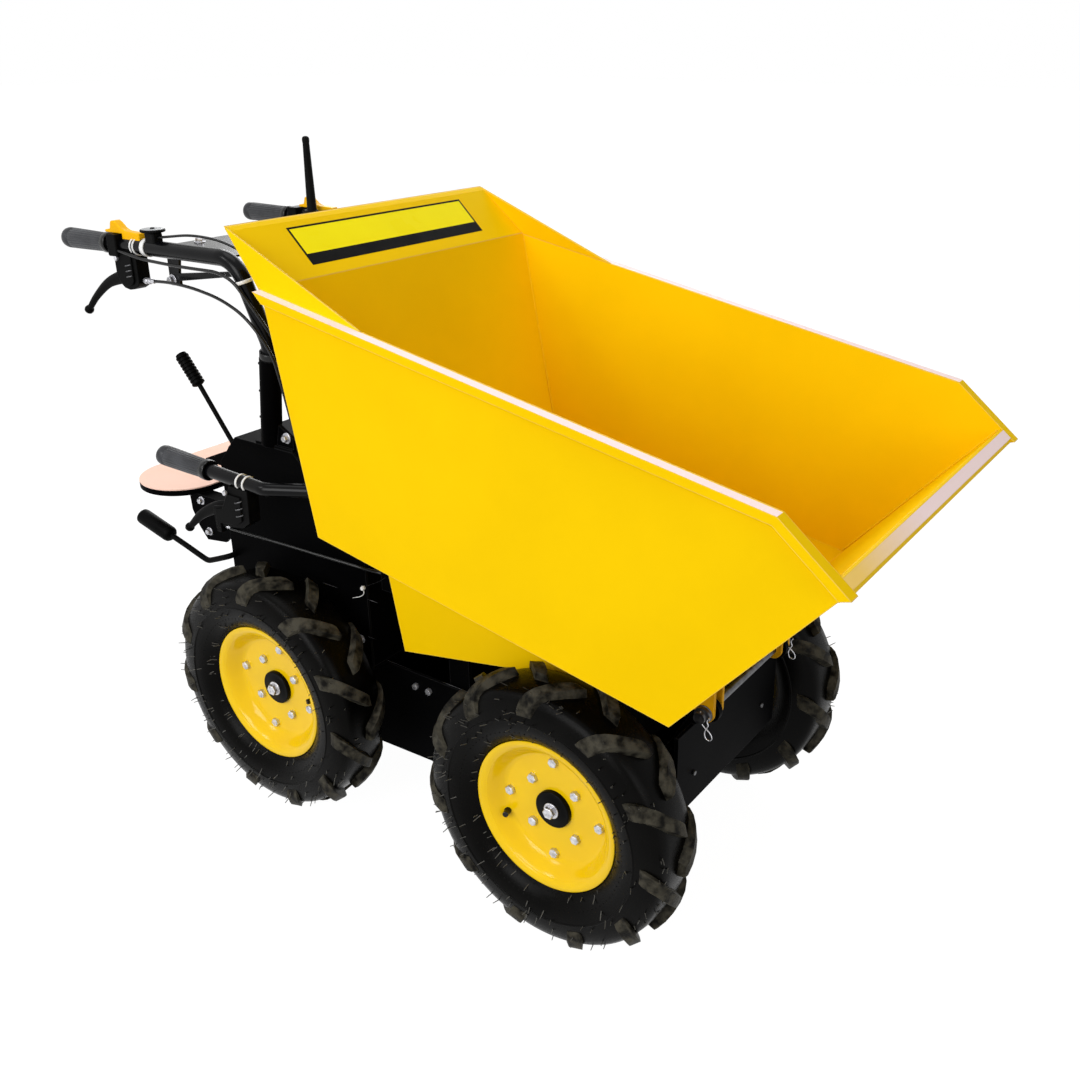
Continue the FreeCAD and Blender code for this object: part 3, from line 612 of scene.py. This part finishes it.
def mould_rib(shape, centre, out, angle):
    """A fine raised line that runs outwards from the bead."""
    inner, outer, half = 119, 136, 0.0042
    corners = []
    for radius, turn in ((inner, -half), (inner, half), (outer, half), (outer, -half)):
        corners.append(wheel_point(centre, out, radius, angle + turn, -0.4))
    plate(shape, corners, (0, out * 1.2, 0))


# %% Build the four tyres
wheels = {}
for place in ("front_left", "front_right", "rear_left", "rear_right"):
    low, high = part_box("rim_" + place)
    centre = (low + high) / 2
    wheels[place] = (centre, 1 if centre.y > 0 else -1)
first_bar = {"front_left": 148, "front_right": 158.8, "rear_left": 163, "rear_right": 156.9}
pitch = 360 / bars_per_side
ribs_on_wall, hairs_on_tyre = 96, 190

random.seed(8)
for place, (centre, out) in wheels.items():
    shape = bmesh.new()
    lathe(shape, carcass, centre, (0, out, 0), sides=132)
    for k in range(bars_per_side):
        tread_bar(shape, centre, out, first_bar[place] + k * pitch)
        tread_bar(shape, centre, -out, first_bar[place] + (k + 0.5) * pitch)
    for k in range(ribs_on_wall):
        mould_rib(shape, centre, out, 2 * math.pi * k / ribs_on_wall)
    for k in range(hairs_on_tyre):
        hair(shape, centre, out)
    finished(
        shape, "tyre_tread_" + place, ["tyre_rubber", "tread_rubber", "hair_rubber"],
        "wheel_" + place, ["tyre_" + place], bevel=1.3,
    )
print("bars on a tyre:", 2 * bars_per_side)

# %% [markdown]
# ## Rims and their bolts
#
# The rims are pressed steel: a flat disc in the middle, a smooth cone out to the
# tyre and a rolled edge. The paint on them is glossier than on the skip, because
# they come from another press and another paint shop. Four bolts hold the disc to
# the hub, four more hold the two halves of the rim together, and a short rubber
# valve comes through the cone.

# %% Rims
rim_half = [
    (27.2, 3), (80, 3), (84, 3.8), (88, 7), (92, 12), (97, 19.5), (100.5, 24.3), (104.5, 27.6),
    (109, 29.3), (112.5, 29.9), (114.6, 29.2), (115, 28.2), (114.4, 27.1), (104, 27), (101.6, 25.4),
]
rim_profile = rim_half + [(r, -y) for r, y in reversed(rim_half)]

for place, (centre, out) in wheels.items():
    shape = bmesh.new()
    lathe(shape, rim_profile, centre, (0, out, 0), sides=128)
    finished(
        shape, "rim_dish_" + place, ["rim_yellow"], "wheel_" + place, ["rim_" + place]
    )

# %% Hubs, bolts and valves
hub_cap = [(0, 0), (28, 0), (28, 9), (26.8, 10.2), (20, 10.4), (18, 11.2), (0, 11.2)]
bolt_circles = ((51, 45), (75.5, 0))  # radius, and how far the first bolt is turned
first_bolt = {"front_left": 20, "front_right": 0, "rear_left": 70, "rear_right": -12}
valve_angle = {"front_left": 200, "front_right": 205, "rear_left": 30, "rear_right": 5}
valve_radius, valve_lean = 0.0885, 0.45
stem = [(0, -3), (5.6, -3), (5.2, 2), (4, 4), (3.8, 7), (4.3, 7.4), (4.3, 12.4), (3.4, 13.2)]
stem += [(0, 13.2)]

for place, (centre, out) in wheels.items():
    outward = (0, out, 0)
    face = centre + Vector((0, out * 0.003, 0))
    shape = bmesh.new()
    lathe(shape, hub_cap, centre, outward, sides=64, paint=1)
    bolt(shape, face + Vector((0, out * 0.008, 0)), outward, across=16, head=8, washer=12)
    for k in range(4):
        for radius, turn in bolt_circles:
            a = math.radians(first_bolt[place] + 90 * k + turn)
            spot = face + Vector((math.cos(a), 0, math.sin(a))) * (radius / 1000)
            bolt(shape, spot, outward, across=13, head=6.5, turn=a)
    a = math.radians(valve_angle[place])
    foot = face + Vector((math.cos(a) * valve_radius, out * 0.004, math.sin(a) * valve_radius))
    tilt = (-valve_lean * math.cos(a), out, -valve_lean * math.sin(a))
    lathe(shape, stem, foot, tilt, sides=20, paint=2)
    finished(
        shape, "wheel_bolts_" + place, ["zinc", "hub_black", "cable_black"],
        "wheel_" + place, bevel=0.5,
    )
print("bolts on a wheel:", 4 * len(bolt_circles) + 1)

# %% [markdown]
# ## The skip's small work
#
# The skip is folded and welded from 3 mm sheet. A weld is a row of small ripples,
# one for each moment the torch stood still. A noise bump on a strip would only
# look rough, so the bead here is swept along the seam with a half width that
# swells and shrinks every few millimetres. Paint covers it with the rest.

# %% A rippled weld bead
def weld(shape, start, end, half):
    """A bead between two points, buried to about half its thickness in the seam."""
    ripple, step = 0.45, 3.4
    count = 2 * max(3, round((end - start).length * 1000 / step))
    across, up = axes(end - start)[1:]
    rings = []
    for k in range(count + 1):
        reach = (half + (ripple if k % 2 else -ripple)) / 1000
        if k in (0, count):
            reach *= 0.35
        rings.append(oval(shape, start.lerp(end, k / count), across, up, reach, reach, 8))
    skin(shape, rings)


# %% Welds on the skip
side_wall, lug_faces = 281, (89, 94, 112, 117)  # millimetres out from the middle
seams = []
for side in (-1, 1):
    wall = side * side_wall
    seams += [
        ((122, wall, 872), (187, wall, 543), 1.7),
        ((189, wall, 541), (732, wall, 448), 1.7),
        ((737, wall, 450), (942, wall, 686), 1.7),
        ((190, side * 173, 537), (733, side * 173, 444), 2.6),
        ((737, side * 172, 441), (709, side * 172, 411), 2.0),
        ((43, side * 268, 952), (117, side * 283, 880), 1.8),
    ]
    for lug in lug_faces:
        seams.append(((664, side * lug, 400.3), (706, side * lug, 408.4), 2.2))
        seams.append(((707, side * lug, 408.6), (729, side * lug, 434), 2.2))
shape = bmesh.new()
for start, end, half in seams:
    weld(shape, at(*start), at(*end), half)
finished(shape, "skip_welds", ["skip_yellow"], "skip", angle=60)
print("seams welded:", len(seams))

# %% [markdown]
# ## The plate on the skip's back
#
# The high back carries a wide printed sticker. This one is blank: a yellow field
# with a black edge and a black strip along its foot. A texture would need a UV
# map. A thin yellow rectangle over a black one is simpler, and keeps sharp edges
# at any distance.

# %% Blank sticker
finish("sticker_black", grey(0.006), grey(0.004), 0.3, patch=30, peel=0.02, level=0.03)
finish(
    "sticker_yellow", (1.0, 0.86, 0.004), (0.97, 0.82, 0.004), 0.28, patch=12, peel=0.02, level=0.04
)
flare_foot, flare_head = at(118, 0, 880), at(40, 0, 954)
sheet = 0.003
up_flare = (flare_head - flare_foot).normalized()
out_of_flare = Vector((up_flare.z, 0, -up_flare.x))
sheet_face = flare_foot + out_of_flare * sheet


def sticker_area(shape, y0, y1, low, high, lift, paint):
    """A thin rectangle on the flare, from low to high up its slope."""
    corners = []
    for y, climb in rectangle(y0, y1, low, high):
        corners.append(sheet_face + up_flare * (climb / 1000) + Vector((0, y / 1000, 0)))
    plate(shape, corners, out_of_flare * lift, paint)


shape = bmesh.new()
sticker_area(shape, -178, 192, 19, 86, 0.25, 0)
sticker_area(shape, -174.5, 188.5, 38, 82.5, 0.32, 1)
finished(shape, "blank_sticker", ["sticker_black", "sticker_yellow"], "skip")

# %% [markdown]
# ## The hinge pin's clip
#
# The pin ends past the outer lugs, with washers on it and a spring clip through a
# hole in its end. The clip is one length of wire bent to the letter R, so it is a
# sweep along points, and the washers are turned.

# %% Washers and spring clip
hinge_x, hinge_z = 716, 356
washer = [(6, 0), (12.2, 0), (12.6, 0.4), (12.6, 1.4), (12.2, 1.8), (6, 1.8)]
clip = [(1, 366), (0, 358), (2, 350), (7, 344), (13, 340), (18, 335), (19, 329), (15, 326)]
clip += [(10, 328), (8, 335), (10, 342), (13, 348), (11, 354), (14, 360)]
shape = bmesh.new()
for side in (-1, 1):
    lathe(shape, washer, at(hinge_x, side * 117.1, hinge_z), (0, side, 0), 40, paint=1)
    wire = [at(hinge_x + x, side * 129.5, z) for x, z in clip]
    sweep(shape, wire, [0.8] * len(clip), sides=10)
finished(shape, "hinge_clips", ["zinc", "dark_steel"], "chassis", angle=50)

# %% [markdown]
# ## Hand grips
#
# A grip is soft rubber over the bar: a rounded end, a groove, then fine ribs
# along its length as far as a raised ring. It narrows a little towards the ring.
# The ribs are made in the mesh, because they show against the light at the
# grip's edge, where a bump would stay flat.

# %% Grips
rounded_end = [(0, 0.1), (9, 0.3), (13, 1.6), (15.6, 4.4), (16.4, 8), (16.4, 17.5), (15.4, 18.6)]
rounded_end += [(15.4, 20.4), (0, 20.4)]
ribbed = [(12.7, 20), (16.2, 20.4), (16.45, 22), (16.2, 40), (15.8, 65), (15.3, 90), (15, 108)]
ribbed += [(12.7, 108.5)]
end_ring = [(12.6, 107), (15.6, 107), (16.5, 107.8), (16.5, 117.6), (15.8, 118.8), (12.6, 118.9)]


def grip(name, start, along, body, stands_for):
    """A ribbed grip from its free end, with the ring at its other end."""
    shape = bmesh.new()
    lathe(shape, rounded_end, start, along, sides=72)
    lathe(shape, ribbed, start, along, sides=144, ribs=24, rib_depth=0.75)
    lathe(shape, end_ring, start, along, sides=72, paint=1)
    finished(
        shape, name, ["grip_rubber", "cable_black"], body, [stands_for], angle=50
    )


bar_y = {"left": 1, "right": -1}
bar_start, bar_step = (-462, 187, 883), (412, -2, 5)  # a level run, on the left
tip_bar_y = -235


def on_bar(side, x, lift=0.0, out=0.0):
    """A point on the level run of a handlebar, given how far along, above and outside it is."""
    share = (x - bar_start[0]) / bar_step[0]
    y = bar_start[1] + bar_step[1] * share + out
    return at(x, bar_y[side] * y, bar_start[2] + bar_step[2] * share + lift)


def bar_axis(side):
    """The direction of a handlebar's level run, towards the front."""
    x, y, z = bar_step
    return Vector((x, y * bar_y[side], z)).normalized()


for side in bar_y:
    grip("grip_" + side, on_bar(side, -466), bar_axis(side), "chassis", "hand_grip_" + side)
tip_axis = Vector((239, 0, -7)).normalized()
tip_end = at(-222, tip_bar_y, 565) - tip_axis * 0.004
grip("grip_tipping", tip_end, tip_axis, "skip", "tipping_grip")

# %% [markdown]
# ## Clutch and catch levers
#
# Each lever hangs from a cast perch that is clamped round its bar. The perch is a
# plate cut to its outline and rounded at every edge; a raised face breaks up its
# side, and a coil spring shows in front. The blade is one sweep: wide at the
# pivot, thin at the finger, with a ball at its end so that a hand can't slip off
# it. The screw is zinc and the spring is dark steel.

# %% Coil spring
def spring(shape, foot, height):
    """An upright coil of wire, made as one long sweep round its axis."""
    radius, wire, turns, steps = 0.0068, 0.0013, 3, 20
    along, across, up = axes((0, 0, 1))
    count = turns * steps
    rings = []
    for k in range(count + 1):
        a = 2 * math.pi * k / steps
        out = across * math.cos(a) + up * math.sin(a)
        here = foot + out * radius + along * (height / 1000 * k / count)
        rings.append(oval(shape, here, out, along, wire, wire, 8))
    skin(shape, rings, closed=False)


# %% Perch and blade
half_ball = [(0, 7.6), (3.4, 6.9), (6.2, 4.4), (7.6, 1)]
finger_ball = [(r, -y) for r, y in half_ball] + half_ball[::-1]


def lever(name, place, near, outline, blade, deep, clamp, coil, body, stands_for):
    """A perch with its blade. place gives (x, up, out) from the bar's middle at the perch."""
    half, inset = 11, 0.74  # half the perch's width, and the size of its raised face
    outwards = (place(0, 0, near) - place(0, 0, 0)).normalized()
    shape = bmesh.new()
    plate(shape, [place(x, z, near * -half) for x, z in outline], outwards * (2 * half))
    mid_x, mid_z = (sum(values) / len(outline) for values in zip(*outline))
    raised = [(mid_x + (x - mid_x) * inset - 3, mid_z + (z - mid_z) * inset) for x, z in outline]
    plate(shape, [place(x, z, near * half) for x, z in raised], outwards * 2.4)
    finished(shape, name + "_perch", ["lever_black"], body, bevel=2.2)

    shape = bmesh.new()
    points = [place(x, z, 0) for x, z in blade]
    sweep(shape, points, [5.5, 5.2, 4.8, 4.8], deep, sides=20)
    lathe(shape, finger_ball, points[-1], (0, 1, 0), sides=28)
    finished(shape, name + "_blade", ["lever_black"], body, stands_for, angle=50)

    if clamp:
        back, front, reach = clamp
        shape = bmesh.new()
        corners = [place(x, z, near * -reach) for z, x in rectangle(-reach, reach, back, front)]
        plate(shape, corners, outwards * (2 * reach))
        finished(shape, name + "_clamp", ["lever_black"], body, bevel=2.6)

    shape = bmesh.new()
    x, z, tall = coil
    spring(shape, place(x, z, near * (half - 1.5)), tall)
    finished(shape, name + "_spring", ["dark_steel"], body, angle=60)
    shape = bmesh.new()
    bolt(shape, place(-20, -20, near * (half + 2.2)), outwards, across=8, head=4)
    finished(shape, name + "_screw", ["zinc"], body, bevel=0.3)


# %% The two clutch levers
perch_x = -300
perch_outline = [(-31, 0), (25, 0), (25, -56), (20, -62), (10, -67), (-2, -69), (-14, -67)]
perch_outline += [(-24, -60), (-31, -48)]
for side in bar_y:

    def by_perch(x, z, across, side=side):
        """A point by a clutch lever, from its bar's middle at the perch."""
        return on_bar(side, perch_x + x, z, across)

    lever(
        "clutch_" + side,
        by_perch,
        near=1,
        outline=perch_outline,
        blade=[(-24, -50), (-72, -66), (-112, -92), (-141, -118)],
        deep=[11.5, 8.2, 6.2, 4.8],
        clamp=(-36, -12, 17.5),
        coil=(6, -52, 26),
        body="chassis",
        stands_for=["clutch_levers"] if side == "right" else [],
    )

# %% The catch lever on the tipping handle
catch_outline = [(-14, -8), (28, -8), (26, -62), (8, -74), (-30, -80), (-44.8, -82), (-44.8, -94)]
catch_outline += [(-56, -94), (-60, -52), (-34, -46)]


def by_catch(x, z, across):
    """A point by the catch lever, from the tipping bar's middle where the lever is clamped."""
    return at(-39 + x, tip_bar_y + across, 559.6 + z)


lever(
    "catch",
    by_catch,
    near=-1,
    outline=catch_outline,
    blade=[(-22, -52), (-60, -58), (-104, -80), (-142, -112)],
    deep=[14, 10.5, 8, 5.2],
    clamp=None,
    coil=(6, -60, 34),
    body="skip",
    stands_for=["catch_lever"],
)

# %% [markdown]
# ## Thumb latches, throttle and drive lever
#
# The yellow thumb latches are moulded plastic with a high rear ear. The throttle
# is a plain housing with a round dial on top, and the drive lever a tapered rod
# that comes up through the left bar's clamp. All get rounded edges from the same
# Bevel modifier, because moulded parts have no sharp corners.

# %% Latches
latch_outline = [(-50, 17.7), (-52, 21.5), (-38, 24), (-34, 36), (-26, 37.5), (-19, 34), (-9, 26)]
latch_outline += [(2, 22.5), (36, 21.5), (36, 3), (30, 0), (-8, 0), (-8, 17.7)]
latch_wide = 14
shape = bmesh.new()
for side, shift in (("left", 36), ("right", 0)):
    corners = [on_bar(side, perch_x + shift + x, z, -latch_wide / 2) for x, z in latch_outline]
    plate(shape, corners, (0, bar_y[side] * latch_wide, 0))
finished(
    shape, "latches_moulded", ["latch_yellow"],
    "chassis", ["thumb_latches"], bevel=1.8,
)

# %% Throttle dial
finish("dial_grey", (0.32, 0.33, 0.34), (0.26, 0.27, 0.28), 0.35, patch=40, peel=0.05)
dial = on_bar("right", -237, 0)
shape = bmesh.new()
corners = [dial + Vector((x, y, 0)) / 1000 for x, y in rectangle(-12, 12, -9, 9)]
plate(shape, corners, (0, 0, 26))
finished(
    shape, "throttle_housing", ["control_black"],
    "chassis", ["throttle_knob"], bevel=3.5,
)
shape = bmesh.new()
rim_of_dial = [(0, 25.5), (17.8, 25.5), (19, 26.4), (19, 28.6), (18.2, 29.6), (17, 29.8), (0, 29.8)]
disc = [(0, 29.7), (16.8, 29.7), (16.8, 30.1), (16, 30.4), (0, 30.4)]
cap = [(0, 30), (3.4, 30), (3.4, 31.6), (2.6, 32.2), (0, 32.2)]
lathe(shape, rim_of_dial, dial, (0, 0, 1), 60, ribs=30, rib_depth=0.6, paint=1)
lathe(shape, disc, dial, (0, 0, 1), 48)
lathe(shape, cap, dial, (0, 0, 1), 24, paint=1)
finished(
    shape, "throttle_dial", ["dial_grey", "control_black"], "chassis", bevel=0.4
)

# %% Drive lever
stalk_x = -261
shape = bmesh.new()
corners = [on_bar("left", stalk_x + x, -12, y) for x, y in rectangle(-13, 15, -36.5, -8)]
plate(shape, corners, (0, 0, 24))
finished(
    shape, "drive_base", ["control_black"], "chassis", ["drive_lever"], bevel=2.5
)
stalk = [(0, -6), (9, -6), (9, 13), (8.6, 16), (7.6, 60), (6.6, 100), (5.9, 132), (6.4, 135)]
stalk += [(6.4, 139), (5.2, 142), (2.6, 143.3), (0, 143.6)]
collar = [(0, 12), (10.5, 12), (11.5, 13), (11.5, 16), (9.5, 18), (0, 18)]
shape = bmesh.new()
for profile in (stalk, collar):
    lathe(shape, profile, on_bar("left", stalk_x, 0, -24.5), (0, 0, 1), 40)
finished(shape, "drive_stalk", ["control_black"], "chassis", bevel=0.4)

# %% [markdown]
# ## Gear lever and low lever
#
# The gear lever's knob is a ribbed rubber sleeve: its rings are only a profile
# that goes in and out nine times, which a lathe makes at no cost. Its rod comes
# out of a boot on the bay's shoulder. The low lever is one rod, cranked out of the
# bay's side, with a plain sleeve that has a paler plug in its end.

# %% Gear lever
knob_rings, ring_step = 9, 6.3
boot_foot, boot_way = at(-162.4, -140, 560), (-0.751, 0, 0.661)
neck, knob_top = at(-236, -140, 656), at(-276, -140, 703)
rod_way = neck - boot_foot
rod_long = rod_way.length * 1000
boot = [(0, 0), (13, 0), (13, 1.6), (11, 3), (12, 4.2), (9.8, 5.4), (10.6, 6.6), (8, 8)]
boot += [(5, 9), (0, 9)]
knob = [(0, 0), (5, 0), (8, 1.2)]
for k in range(knob_rings):
    foot = 2 + k * ring_step
    knob += [(9.1, foot), (10.9, foot + 1), (11, foot + 3.6), (9.1, foot + 4.6)]
knob += [(9.4, 59), (8.8, 60.8), (6.5, 61.7), (0, 61.7)]
shape = bmesh.new()
lathe(shape, boot, boot_foot, boot_way, 40)
lathe(shape, [(0, 3), (4, 3), (4, rod_long), (0, rod_long)], boot_foot, rod_way, 24)
lathe(shape, knob, neck, knob_top - neck, 48)
finished(shape, "gear_stick", ["lever_black"], "chassis", ["gear_lever"], angle=50)
shape = bmesh.new()
corners = [at(x, -150, z) for x, z in ((-180, 553), (-233, 531), (-233, 528.5), (-180, 524))]
plate(shape, corners, (0, 30, 0))
finished(shape, "gear_tab", ["frame_black"], "chassis", bevel=0.6)

# %% Low lever
crank = [(-170, -160.5, 374), (-170, -169, 374), (-177, -175.5, 371.4), (-213, -179, 357.4)]
crank += [(-223, -180, 355), (-235, -180.4, 357), (-276, -181, 368.5), (-318, -182, 380)]
sleeve_foot = at(-314, -182, 379)
sleeve_way = at(-390, -184, 400) - sleeve_foot
sleeve = [(0, 0), (7, 0), (11, 1), (13.2, 4), (14, 8), (14, 73), (13.2, 77), (11.4, 78.6)]
sleeve += [(0, 78.6)]
plug = [(0, 78), (10, 78), (10, 79), (9, 79.6), (0, 79.6)]
shape = bmesh.new()
sweep(shape, [at(*p) for p in crank], [5] * len(crank), sides=18, side_way=(0, 0.3, 1))
lathe(shape, sleeve, sleeve_foot, sleeve_way, 56)
lathe(shape, plug, sleeve_foot, sleeve_way, 40, paint=1)
looks = ["lever_black", "grip_rubber"]
finished(shape, "low_stick", looks, "chassis", ["low_lever"], angle=50)

# %% [markdown]
# ## Bands, ties and adjusters
#
# These are what a fitter adds last: pale clamp bands on the bars, plastic ties
# round cable and tube, and the threaded adjuster where a cable leaves its lever.
# Each is a ring turned about the bar it holds. A tie also keeps its cut tail.

# %% Pale bands on the bars
def band(shape, centre, axis, radius, wide, thick, paint=0):
    """A flat ring round a tube."""
    half = wide / 2
    outer = radius + thick
    profile = [(radius - 0.5, -half), (outer - 0.3, -half), (outer, 0.3 - half)]
    profile += [(outer, half - 0.3), (outer - 0.3, half), (radius - 0.5, half)]
    lathe(shape, profile, centre, axis, 48, paint=paint)


bar_radius, tied_radius = 12.5, 13.4  # of a bar, and of a tie round it
shape = bmesh.new()
for side, s in bar_y.items():
    for x, wide in ((-283, 2.6), (-276, 2.6), (-254, 8.5)):
        band(shape, on_bar(side, x), bar_axis(side), bar_radius, wide, 1.6, paint=1)
    drop = (0.24, s * -0.14, -0.96)
    band(shape, at(-42.5, s * 181.6, 856), drop, tied_radius, 5, 1.1, paint=1)
finished(shape, "bar_bands", ["zinc", "tie_white"], "chassis", angle=50)

# %% Black ties down the bars
def tie(shape, centre, axis, radius, tail):
    """A cable tie: a thin ring, its lock and its cut tail."""
    band(shape, centre, axis, radius, 3.6, 1.1)
    way, along = Vector(tail).normalized(), Vector(axis).normalized()
    lock = centre + way * ((radius + 1) / 1000)
    across = along.cross(way)
    for wide, deep, tall in ((0.003, 0.0026, 3.6), (0.0006, 0.0018, 9)):  # the lock, the tail
        corners = []
        for a, b in rectangle(-1, 1, -1, 1):
            corners.append(lock + across * (a * wide) + along * (b * deep))
        plate(shape, corners, way * tall)


shape = bmesh.new()
for s in bar_y.values():
    run = Vector((-35, s * -13, -158)).normalized()
    for x, y, z in ((-25.8, 163.1, 725), (-35.9, 159.3, 679), (-45.9, 155.6, 634)):
        tie(shape, at(x, s * y, z), run, tied_radius, (-1, s * 0.15, 0.15))
    band(shape, at(-21.5, s * 164.6, 744), run, 12.6, 14, 3.4)
finished(shape, "bar_ties", ["cable_black"], "chassis", angle=50)

# %% Bands and a tie on the skip's handle and catch
shape = bmesh.new()
for x, z in ((-34.6, 559.4), (-19.6, 558.95)):
    band(shape, at(x, tip_bar_y, z), tip_axis, 11, 3.2, 1.5)
finished(shape, "tipping_bands", ["tie_white"], "skip", angle=50)

strand = [(189, 430), (169, 416), (147, 404), (137, 397)]
tail = [(137, 397), (138, 388), (129, 380), (112, 373)]
knot = [(0, -3.8), (3, -3), (4.2, 0), (3, 3), (0, 3.8)]
shape = bmesh.new()
sweep(shape, [at(x, -165, z) for x, z in strand], [0.35] * 4, sides=8, paint=1)
sweep(shape, [at(x, -165, z) for x, z in tail], [0.8, 0.7, 0.6, 0.45], sides=10)
lathe(shape, knot, at(137, -165, 397), (0, 1, 0), 20)
finished(shape, "catch_tie", ["tie_white", "cable_black"], "skip", angle=50)

# %% Cable adjusters
adjuster = [(0, 0), (3.4, 0), (3.4, 4), (5.2, 4.2), (5.2, 10), (4.2, 10.4), (4.2, 12), (5, 12.4)]
adjuster += [(5, 17), (3.8, 18), (3.8, 26), (3.2, 27), (0, 27)]
shape = bmesh.new()
for s in bar_y.values():
    lathe(shape, adjuster, at(-275.4, s * 187, 832.2), (1, 0, 0.05), 20, ribs=6, rib_depth=0.5)
finished(shape, "clutch_adjusters", ["zinc"], "chassis", bevel=0.3)
nipple = [(0, -1.5), (3.6, -1.5), (4, 0), (4, 4), (3.2, 5), (2.7, 10), (0, 10)]
shape = bmesh.new()
lathe(shape, nipple, at(-83.8, tip_bar_y, 473.6), (1, 0, -0.05), 20)
finished(shape, "catch_nipple", ["zinc"], "skip", bevel=0.3)

# %% [markdown]
# ## Bolts on the chassis
#
# Bolts show how the machine is put together, so each one sits where a plate
# really ends on another. All the zinc bolts are joined into one piece: dozens of
# single objects would be harder to find again.

# %% Chassis bolts
side_bolts = [  # x, out, up, size over the flats, washer
    (-248, 158, 453, 9, 7.5),
    (-237, 158, 398, 9, 7.5),
    (120, 160, 470, 8, 7),
    (-168, 160, 300, 8, 7),
    (120, 160, 300, 8, 7),
    (-14, 155.5, 611, 10, 9),
    (204, 130, 227, 10, 0),
    (232, 130, 227, 10, 0),
    (40, 130, 232, 10, 0),
    (-64, 130, 232, 10, 0),
    (430, 130, 227, 10, 0),
    (-226, 169.3, 836, 11, 9),
]
top_bolts = [  # x, out, up, size over the flats, height, washer
    (-214, 120, 888.7, 11, 6, 9),
    (-96, 120, 888.7, 11, 6, 9),
    (-78, 134, 595, 9, 5.5, 7.5),
    (-24, 134, 595, 9, 5.5, 7.5),
]
tall_share = 0.62  # how tall a side bolt's head is, for its size
shape = bmesh.new()
for s in (-1, 1):
    for x, y, z, across, washer in side_bolts:
        bolt(shape, at(x, s * y, z), (0, s, 0), across, across * tall_share, washer)
    for x, y, z, across, head, washer in top_bolts:
        bolt(shape, at(x, s * y, z), (0, 0, 1), across, head, washer)
finished(shape, "chassis_bolts", ["zinc"], "chassis", bevel=0.3)
shape = bmesh.new()
for s in (-1, 1):
    bolt(shape, at(697, s * 104, 246), (1, 0, 0), 7, 3)
finished(shape, "tower_screws", ["dark_steel"], "chassis", bevel=0.3)
print("bolt heads on the chassis:", 2 * (len(side_bolts) + len(top_bolts) + 1))

# %% [markdown]
# ## Welds and pressings on the frame
#
# The rails are welded to the cross plates. The engine housing is thin sheet: its
# rear and left sides have pressed louvres, so that the engine can breathe. Each
# louvre is a small half-round hood, made as a sweep that is thickest in the
# middle.

# %% Frame welds
shape = bmesh.new()
for s in (-1, 1):
    for x in (-94, 636):
        weld(shape, at(x, s * 124.5, 112), at(x, s * 124.5, 246), 2.6)
    weld(shape, at(691, s * 107.3, 204), at(691, s * 107.3, 300), 2.4)
    weld(shape, at(640, s * 107.5, 246), at(664, s * 107.5, 278), 2.2)
finished(shape, "frame_welds", ["frame_black"], "chassis", angle=60)

# %% Bare steel strips on sharp frame edges: rubbed paint, and painted highlight lines along those edges
# pale steel lines: painted highlights along the rail and housing edges, made as rubbed bare steel
rubbed_highlight_lines = [  # from x, to x, out, up
    (99, 193, 130.2, 253.6),
    (260, 313, 130.2, 253.6),
    (40, 75, 160.2, 377.5),
    (141, 163, 160.2, 376.5),
    (134, 152, 160.2, 308.6),
]
shape = bmesh.new()
for s in (-1, 1):
    for x0, x1, y, z in rubbed_highlight_lines:
        line = [at(x0 + (x1 - x0) * t, s * y, z) for t in (0, 0.3, 0.6, 1)]
        sweep(shape, line, [0.1, 0.75, 0.5, 0.1], sides=8, steps=3)
finished(shape, "rubbed_highlight_edges", ["dark_steel"], "chassis", angle=60)

# %% Louvres on the housing
rear_x, left_y = -180.2, 160.2
louvres, lowest, louvre_step = 7, 330, 24
hood = ([1, 4, 5, 4, 1], [1.5, 5.5, 6.5, 5.5, 1.5])
shape = bmesh.new()
for k in range(louvres):
    z = lowest + louvre_step * k
    for y0, y1 in ((-112, -14), (14, 112)):
        line = [at(rear_x, y0 + (y1 - y0) * t, z) for t in (0, 0.12, 0.5, 0.88, 1)]
        sweep(shape, line, *hood, sides=12, side_way=(1, 0, 0), steps=3)
    if k < louvres - 1:
        line = [at(-120 + 200 * t, left_y, z) for t in (0, 0.08, 0.5, 0.92, 1)]
        sweep(shape, line, *hood, sides=12, steps=3)
finished(shape, "housing_louvres", ["frame_black"], "chassis", angle=50)
